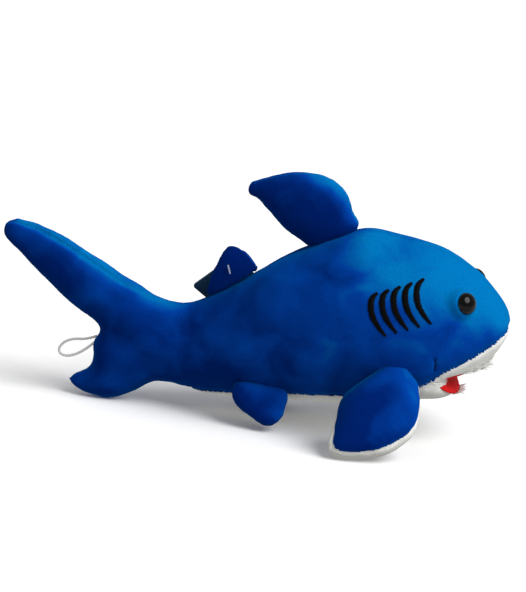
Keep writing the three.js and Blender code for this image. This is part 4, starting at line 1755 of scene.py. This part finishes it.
# ---------------------------------------------------------------- fins
@dataclass
class Fin:
    """A stuffed fin of two panels, sewn by its root to the torso."""

    name: str
    form: OvalForm
    hinge: Hinge
    panels: tuple[tuple[str, Slot], tuple[str, Slot]]
    nodes: tuple[Sequence[str], Sequence[str]]
    bend: tuple[float, float]
    wardrobe: Wardrobe
    swell: float = 1.6
    seam_depth: float = 1.3
    seam_width: float = 3.4
    floor: float | None = None
    seed: float = 0.0
    # shifts this fin's painted light and shade; below zero paints it darker
    nap: float = -0.2
    seam_shift: tuple[float, float, float] = (0.0, 0.0, 1.0)

    def face(self, points: np.ndarray) -> np.ndarray:
        """Positive on the side that the first panel covers."""
        middle = np.array(self.form.stations[1][:3], float)
        shift, start, end = self.seam_shift
        out = (points - middle) @ np.array(self.hinge.outward)
        over = (points - middle) @ (np.array(self.form.side) / np.linalg.norm(self.form.side))
        return over - shift * eased((out - start) / (end - start))

    def build(self) -> None:
        """Makes the fin's two panels."""
        filling = Filling(voxel=2.4, pressure=5.0, swell=self.swell, smooth=4)
        root = drawn(np.array(self.hinge.at)[None])[0]
        away = np.array(self.hinge.outward)

        def held(points: np.ndarray) -> np.ndarray:
            """The root's seam allowance."""
            return 1 - eased(((points - root) @ away - 1.0) / 5.0)

        grow = 0.1
        mesh = filling.skin(self.name, self.form.mesh(self.name, 70, 48, grow), held)
        cut_along(mesh, self.face)
        points = points_of(mesh)
        normal = normals_of(mesh)
        distance = seam_distance(mesh, points, self.face)
        deep = rolled_in(distance, self.seam_depth, self.seam_width)
        lift = puckers(points, distance, 0.7, 5.0, self.seed + 1) + 0.7 * speckle(points, 17.0, self.seed + 2)
        points = points + normal * (lift - deep)[:, None]
        if self.floor is not None:
            points[:, 2] = np.maximum(points[:, 2], self.floor)
        set_points(mesh, points)
        # painted highlight beside the fin's seam, added to its painted light and shade
        edge = np.exp(-((distance / 2.4) ** 2))
        store_nap(mesh, nap_at(points, normal, edge, self.nap))
        for sign, (label, slot), nodes in zip((1, -1), self.panels, self.nodes):
            name = f"{self.name}_{label}_cloth"
            piece = new_object(name, parted(mesh, name, (self.face, sign)), self.wardrobe[slot])
            piece = walled(piece, 1.0)
            dress(piece, None, nodes)
            self.hinge.blend(piece, *self.bend)


def side_stations(sections: Sequence[Sequence[float]], side: "Side") -> list[tuple]:
    """Stations of a fin that hangs out from a flank.

    Args:
        sections: how far out each lies as Y, its Z, its middle along X, half chord and half thickness.
        side: the flank.

    Returns:
        The stations for an OvalForm.
    """
    return [(x, side.value * y, z, half, 0, thick) for y, z, x, half, thick in sections]


@dataclass
class Fins:
    """All of the fins but the tail."""

    wardrobe: Wardrobe
    pectoral_slope: float = 52.8
    pelvic_slope: float = 62.0

    def dorsal(self) -> None:
        """The tall fin, swept back, with a blunt knob at its tip."""
        stations = (
            (148.5, 0, 133.0, 19.5, 25, 8.5),
            (148.0, 0, 138.0, 22.0, 26.5, 9.5),
            (141.6, 0, 143.5, 23.0, 28, 11.5),
            (135.0, 0, 151.0, 26.6, 27.5, 12.5),
            (127.5, 0, 159.3, 27.6, 26, 12.5),
            (118.5, 0, 165.5, 26.0, 28, 12),
            (110.0, 0, 168.2, 19.8, 35, 10),
            (100.5, 0, 166.2, 13.4, 48, 8),
            (94.6, 0, 164.4, 8.8, 62, 7),
            (90.0, 0, 163.2, 6.8, 74, 6.6),
            (85.6, 0, 162.6, 6.0, 82, 5.6),
        )
        Fin(
            "dorsal_fin",
            OvalForm(stations, (0, -1, 0)),
            Hinge.named("dorsal_fin_fold", (-0.454, 0, 0.891)),
            (("right_panel", Slot.BLUE), ("left_panel", Slot.BLUE)),
            (["dorsal_fin_panel_right", "dorsal_fin_stuffing"], ["dorsal_fin_panel_left"]),
            (0.0, 12.0),
            self.wardrobe,
            seed=10,
            # painted shade: the dorsal fin is painted darker
            nap=-0.3,
        ).build()

    def rear(self) -> None:
        """The small fin in front of the tail, which carries the tag."""
        stations = (
            (83.6, 0, 92.0, 21.0, 36, 2.8),
            (80.8, 0, 96.5, 22.5, 37, 3.6),
            (78.6, 0, 101.5, 20.2, 38.5, 5.2),
            (76.6, 0, 108.5, 15.0, 42, 5.2),
            (75.2, 0, 114.8, 9.0, 46, 4.2),
            (74.6, 0, 119.6, 3.6, 46, 2.2),
        )
        Fin(
            "rear_fin",
            OvalForm(stations, (0, -1, 0)),
            Hinge.named("rear_fin_fold", (-0.6018, 0, 0.7986)),
            (("right_panel", Slot.BLUE), ("left_panel", Slot.BLUE)),
            (["rear_fin_panel_right", "rear_fin_stuffing"], ["rear_fin_panel_left"]),
            (0.0, 6.0),
            self.wardrobe,
            swell=0.8,
            seam_depth=0.9,
            seam_width=2.2,
            seed=20,
            # painted shade: the rear fin is painted much darker
            nap=-0.85,
        ).build()

    def pair(
        self,
        name: str,
        slope: float,
        sections: Sequence[Sequence[float]],
        faces: tuple[tuple[str, Slot], tuple[str, Slot]],
        bend: tuple[float, float],
        seed: float,
        **looks: float | tuple[float, float, float],
    ) -> None:
        """A fin on the right flank and its twin on the left.

        Args:
            name: the fin's name in the frame.
            slope: its angle below level, in degrees.
            sections: see side_stations.
            faces: each panel's label and finish, the upper or outer one first.
            bend: where it starts and stops bending with its joint, in millimetres from the joint.
            seed: moves its creases.
            looks: other fields of Fin.
        """
        turn = math.radians(slope)
        for side in Side:
            y = side.value
            hinge = Hinge.named(f"{name}_{side.label}_flap", (0, y * math.cos(turn), -math.sin(turn)))
            Fin(
                f"{name}_{side.label}",
                OvalForm(side_stations(sections, side), (0, y * math.sin(turn), math.cos(turn)), 2.2),
                hinge,
                faces,
                (
                    [f"{name}_{side.label}_{faces[0][0]}", f"{name}_{side.label}_stuffing"],
                    [f"{name}_{side.label}_{faces[1][0]}"],
                ),
                bend,
                self.wardrobe,
                floor=0.02,
                seed=seed + y,
                **looks,
            ).build()

    def build(self) -> None:
        """Makes all six fins."""
        self.dorsal()
        self.rear()
        pectoral = (
            (46.4, 60.8, 205, 9, 2.5),
            (50.0, 56.0, 205.5, 13.5, 6),
            (53.9, 50.8, 205.5, 19, 9.5),
            (59.7, 43.2, 201.5, 25, 12.5),
            (65.5, 35.6, 199.0, 28.3, 14),
            (75.0, 23.0, 197.3, 28.8, 13.5),
            (81.1, 15.1, 193.8, 25.8, 12.5),
            (86.0, 8.6, 188.6, 21.4, 10.5),
            (89.6, 4.4, 182.2, 14.4, 7),
            (91.0, 3.0, 178.6, 6.5, 3.4),
        )
        self.pair(
            "pectoral_fin",
            self.pectoral_slope,
            pectoral,
            (("top_panel", Slot.BLUE), ("underside_panel", Slot.WHITE)),
            (6.0, 10.0),
            30,
            seam_shift=(5.5, 20.0, 58.0),
            # painted shade: the pectoral's painted light is taken down
            nap=-0.56,
        )
        pelvic = (
            (26.0, 33.0, 110.8, 16, 2),
            (29.5, 30.2, 110.8, 20.5, 3.5),
            (32.2, 26.0, 111.0, 21.8, 5),
            (34.6, 20.0, 111.8, 21.0, 6),
            (37.0, 14.5, 114, 17.5, 6),
            (40.0, 9.5, 118, 11.5, 5),
            (42.0, 6.0, 119.5, 6.8, 4),
            (43.0, 4.4, 120, 2.8, 2.6),
        )
        self.pair(
            "pelvic_fin",
            self.pelvic_slope,
            pelvic,
            (("outer_panel", Slot.BLUE), ("inner_panel", Slot.BLUE)),
            (7.0, 6.0),
            40,
            # painted shade: the pelvic fins are painted darker
            nap=-0.45,
        )


# ---------------------------------------------------------------- tag and loop
@dataclass
class Tag:
    """The blank card and the plastic pin that holds it to the rear fin."""

    wardrobe: Wardrobe
    width: float = 25.5
    height: float = 38.0
    thick: float = 0.8
    corner: float = 3.0
    margin: float = 4.5
    hole: float = 2.2
    turn: float = 41.0
    normal: Point = (-0.4, 1, 0.52)
    pin: Point = (79, 0, 104.7)
    card_y: float = 14.0

    def card(self) -> None:
        """The card, with a punched hole and rounded edges."""
        right, left = self.margin, self.margin - self.width
        top, bottom = self.margin, self.margin - self.height
        outline = []
        for x, y, start in ((right, top, 0), (left, top, 90), (left, bottom, 180), (right, bottom, 270)):
            cx = x - math.copysign(self.corner, x - (left + right) / 2)
            cy = y - math.copysign(self.corner, y - (top + bottom) / 2)
            for i in range(9):
                angle = math.radians(start + 90 * i / 8)
                outline.append((cx + self.corner * math.cos(angle), cy + self.corner * math.sin(angle)))
        angles = np.linspace(0, 2 * np.pi, 36, False)
        hole = [(self.hole * math.cos(a), self.hole * math.sin(a)) for a in angles]
        out = Vector(self.normal).normalized()
        up = (Vector((0, 0, 1)) - out * out.z).normalized()
        along = up.cross(out)
        turn = math.radians(self.turn)
        at = Vector((self.pin[0], self.card_y, self.pin[2]))

        def spot(x: float, y: float, z: float) -> Vector:
            """A point of the card in its place on the toy."""
            u = x * math.cos(turn) - y * math.sin(turn)
            v = x * math.sin(turn) + y * math.cos(turn)
            return Vector(place(np.array(at + along * u + up * v + out * z)[None])[0])

        bm = bmesh.new()
        rings = [[bm.verts.new(spot(x, y, 0)) for x, y in loop] for loop in (outline, hole)]
        edges = [bm.edges.new((ring[i - 1], ring[i])) for ring in rings for i in range(len(ring))]
        bmesh.ops.triangle_fill(bm, use_beauty=True, use_dissolve=False, edges=edges)
        lift = out * self.thick * MM
        made = bmesh.ops.extrude_face_region(bm, geom=bm.faces[:])
        outer = [g for g in made["geom"] if isinstance(g, bmesh.types.BMVert)]
        bmesh.ops.translate(bm, vec=lift, verts=outer)
        bmesh.ops.recalc_face_normals(bm, faces=bm.faces)
        mesh = bpy.data.meshes.new("blank_card_tag")
        bm.to_mesh(mesh)
        bm.free()
        piece = new_object("blank_card_tag", mesh, self.wardrobe[Slot.CARD])
        soft = piece.modifiers.new("cut_edge", "BEVEL")
        soft.width = 0.15 * MM
        soft.segments = 2
        soft.limit_method = "ANGLE"
        piece = baked(piece)
        piece.data.set_sharp_from_angle(angle=math.radians(40))
        dress(piece, "tag", ["hang_tag"])

    def fastener(self) -> None:
        """The pin: a thin stem, a cross bar on the fin's right face and a paddle outside the card."""
        x, _, z = self.pin
        near, far = np.array([x, -7.2, z]), np.array([x, 20.5, z])
        stem = [(x, y, z, 0.4, 0, 0.4) for y in (near[1], 6, far[1])]
        bar = np.array([-0.35, 0, 1]) / np.linalg.norm([-0.35, 0, 1]) * 3.4
        paddle = np.array([4, 0, 0])
        meshes = [OvalForm(stem, (0, 0, 1)).mesh("stem", 20, 14)]
        meshes.append(self.rod(near - bar, near + bar, 0.6))
        meshes.append(self.rod(far - paddle, far + paddle, 0.9))
        piece = new_object("tag_fastener", joined("tag_fastener", meshes), self.wardrobe[Slot.PIN])
        dress(piece, "rear_fin", ["tag_pin"])

    @staticmethod
    def rod(start: np.ndarray, end: np.ndarray, radius: float) -> bpy.types.Mesh:
        """A round rod with rounded ends."""
        way = (end - start) / np.linalg.norm(end - start)
        first = np.cross(way, [0.0, 1.0, 0.0])
        first /= np.linalg.norm(first)
        around = circle(first, np.cross(way, first), 16) * radius
        shares = [(0.0, 0.05), (0.15, 0.6), (0.5, 0.9), (1.0, 1.0)]
        rings = [start + way * radius * s + around * r for s, r in shares]
        rings += [end - way * radius * s + around * r for s, r in reversed(shares)]
        return tube("rod", np.array(rings))


@dataclass
class Loop:
    """The twisted cord loop in the fork of the tail."""

    wardrobe: Wardrobe
    diameter: float = 1.9
    length: float = 0.063
    strands: int = 3
    lay: float = 7.0  # mm for one turn of the twist
    route: Sequence[Point] = (
        (-0.1094, 0.0008, 0.0434),
        (-0.1120, 0.0009, 0.0422),
        (-0.1155, 0.0010, 0.0409),
        (-0.1190, 0.0011, 0.0400),
        (-0.1225, 0.0012, 0.0396),
        (-0.1260, 0.0011, 0.0390),
        (-0.1294, 0.0009, 0.0378),
        (-0.1322, 0.0006, 0.0360),
        (-0.1342, 0.0003, 0.0336),
        (-0.1352, 0.0000, 0.0309),
        (-0.1344, -0.0003, 0.0285),
        (-0.1319, -0.0006, 0.0272),
        (-0.1288, -0.0008, 0.0271),
        (-0.1254, -0.0010, 0.0280),
        (-0.1220, -0.0011, 0.0296),
        (-0.1187, -0.0012, 0.0318),
        (-0.1156, -0.0012, 0.0343),
        (-0.1128, -0.0011, 0.0369),
        (-0.1106, -0.0010, 0.0391),
    )

    def build(self) -> None:
        """Sweeps a three-stranded section along the route, turning as it goes."""
        steps, sides = 220, 24
        line = catmull_rom(np.array(self.route), np.linspace(0, 1, steps)) / MM
        tangent = np.gradient(line, axis=0)
        tangent /= np.linalg.norm(tangent, axis=1)[:, None]
        along = np.concatenate([[0], np.cumsum(np.linalg.norm(np.diff(line, axis=0), axis=1))])
        first = np.cross(tangent, [0.0, 1.0, 0.0])
        first /= np.linalg.norm(first, axis=1)[:, None]
        second = np.cross(tangent, first)
        angle = np.linspace(0, 2 * np.pi, sides, endpoint=False)
        rings = []
        for i in range(steps):
            twist = 2 * math.pi * along[i] / self.lay
            bulge = 0.80 + 0.20 * np.abs(np.cos(self.strands * (angle - twist) / 2))
            around = circle(first[i], second[i], sides) * bulge[:, None]
            rings.append(line[i] + around * self.diameter / 2)
        mesh = tube("hanging_cord", np.array(rings) + (HEEL_TO_MIDDLE, 0, 0))
        piece = new_object("hanging_cord", mesh, self.wardrobe[Slot.CORD])
        dress(piece, "loop", ["hanging_loop"])


# ---------------------------------------------------------------- stage
@dataclass
class Studio:
    """Pale floor, soft light and the camera."""

    turn: float = 6.0
    height: float = 14.0
    roll: float = 5.5
    distance: float = 5.0
    field: float = 0.4144  # metres of the picture's height at the toy
    target: Point = (0.0048, 0.0, 0.0869)
    sky: float = 0.5
    key: float = 3.15

    def camera(self) -> None:
        """The camera, a little above the toy and turned to its flank."""
        turn, rise, roll = (math.radians(a) for a in (self.turn, self.height, self.roll))
        level = Vector((math.cos(turn), math.sin(turn), 0))
        up = Vector((-math.sin(turn) * math.sin(rise), math.cos(turn) * math.sin(rise), math.cos(rise)))
        right = level * math.cos(roll) + up * math.sin(roll)
        top = up * math.cos(roll) - level * math.sin(roll)
        back = right.cross(top)
        data = bpy.data.cameras.new("camera")
        data.sensor_width = 36.0
        data.lens = 36.0 * self.distance / self.field
        data.clip_start = 0.05
        data.clip_end = 50
        camera = bpy.data.objects.new("camera", data)
        bpy.context.scene.collection.objects.link(camera)
        pose = Matrix((right, top, back)).transposed().to_4x4()
        pose.translation = Vector(self.target) + back * self.distance
        camera.matrix_world = pose
        bpy.context.scene.camera = camera

    def floor(self) -> None:
        """A wide pale disc under the toy."""
        bm = bmesh.new()
        bmesh.ops.create_circle(bm, cap_ends=True, segments=96, radius=9.0)
        mesh = bpy.data.meshes.new("floor")
        bm.to_mesh(mesh)
        bm.free()
        made, tree, shader = bare_material("matt_painted_floor")
        paint = mixed(tree, grain(tree, 25.0), "#f4f4f4", "#f8f8f8")
        set_inputs(tree, shader, {"Base Color": paint, "Roughness": 0.9, "Specular IOR Level": 0.0})
        floor = new_object("floor", mesh, made)
        floor.visible_diffuse = False
        floor.visible_shadow = False

    def light(self) -> None:
        """A large soft key from above, to the front right, and an even sky."""
        world = bpy.data.worlds.new("studio")
        world.use_nodes = True
        sky = world.node_tree.nodes["Background"]
        sky.inputs["Color"].default_value = (1.0, 1.0, 1.0, 1.0)
        sky.inputs["Strength"].default_value = self.sky
        bpy.context.scene.world = world
        data = bpy.data.lights.new("key", "SUN")
        data.energy = self.key
        data.angle = math.radians(42)
        lamp = bpy.data.objects.new("key", data)
        bpy.context.scene.collection.objects.link(lamp)
        lamp.rotation_euler = Vector((-0.9, 0.45, -1.0)).to_track_quat("-Z", "Y").to_euler()
        bpy.context.scene.view_settings.view_transform = "Standard"

    def build(self) -> None:
        """Sets up the whole stage."""
        self.camera()
        self.floor()
        self.light()


def main() -> None:
    """Builds the toy in order."""
    Studio().build()
    wardrobe = Wardrobe()
    sewing = Sewing(wardrobe)
    Loop(wardrobe).build()
    skin = Skin(sewing, wardrobe)
    skin.sew()
    skin.seam_fringe()
    skin.dart_stitches()
    skin.gills(
        ((186.8, 110.8), (183.2, 107.2), (182.5, 102), (184.7, 95), (189.8, 88.5), (196.2, 83)),
        (2.0, 3.6, 4.2, 4.0, 3.2, 1.6),
        (7.5, 2.75),
    )
    Mouth(skin, sewing, wardrobe).build()
    Eyes(skin, wardrobe).build()
    Fins(wardrobe).build()
    tag = Tag(wardrobe)
    tag.card()
    tag.fastener()


if __name__ == "__main__":
    main()
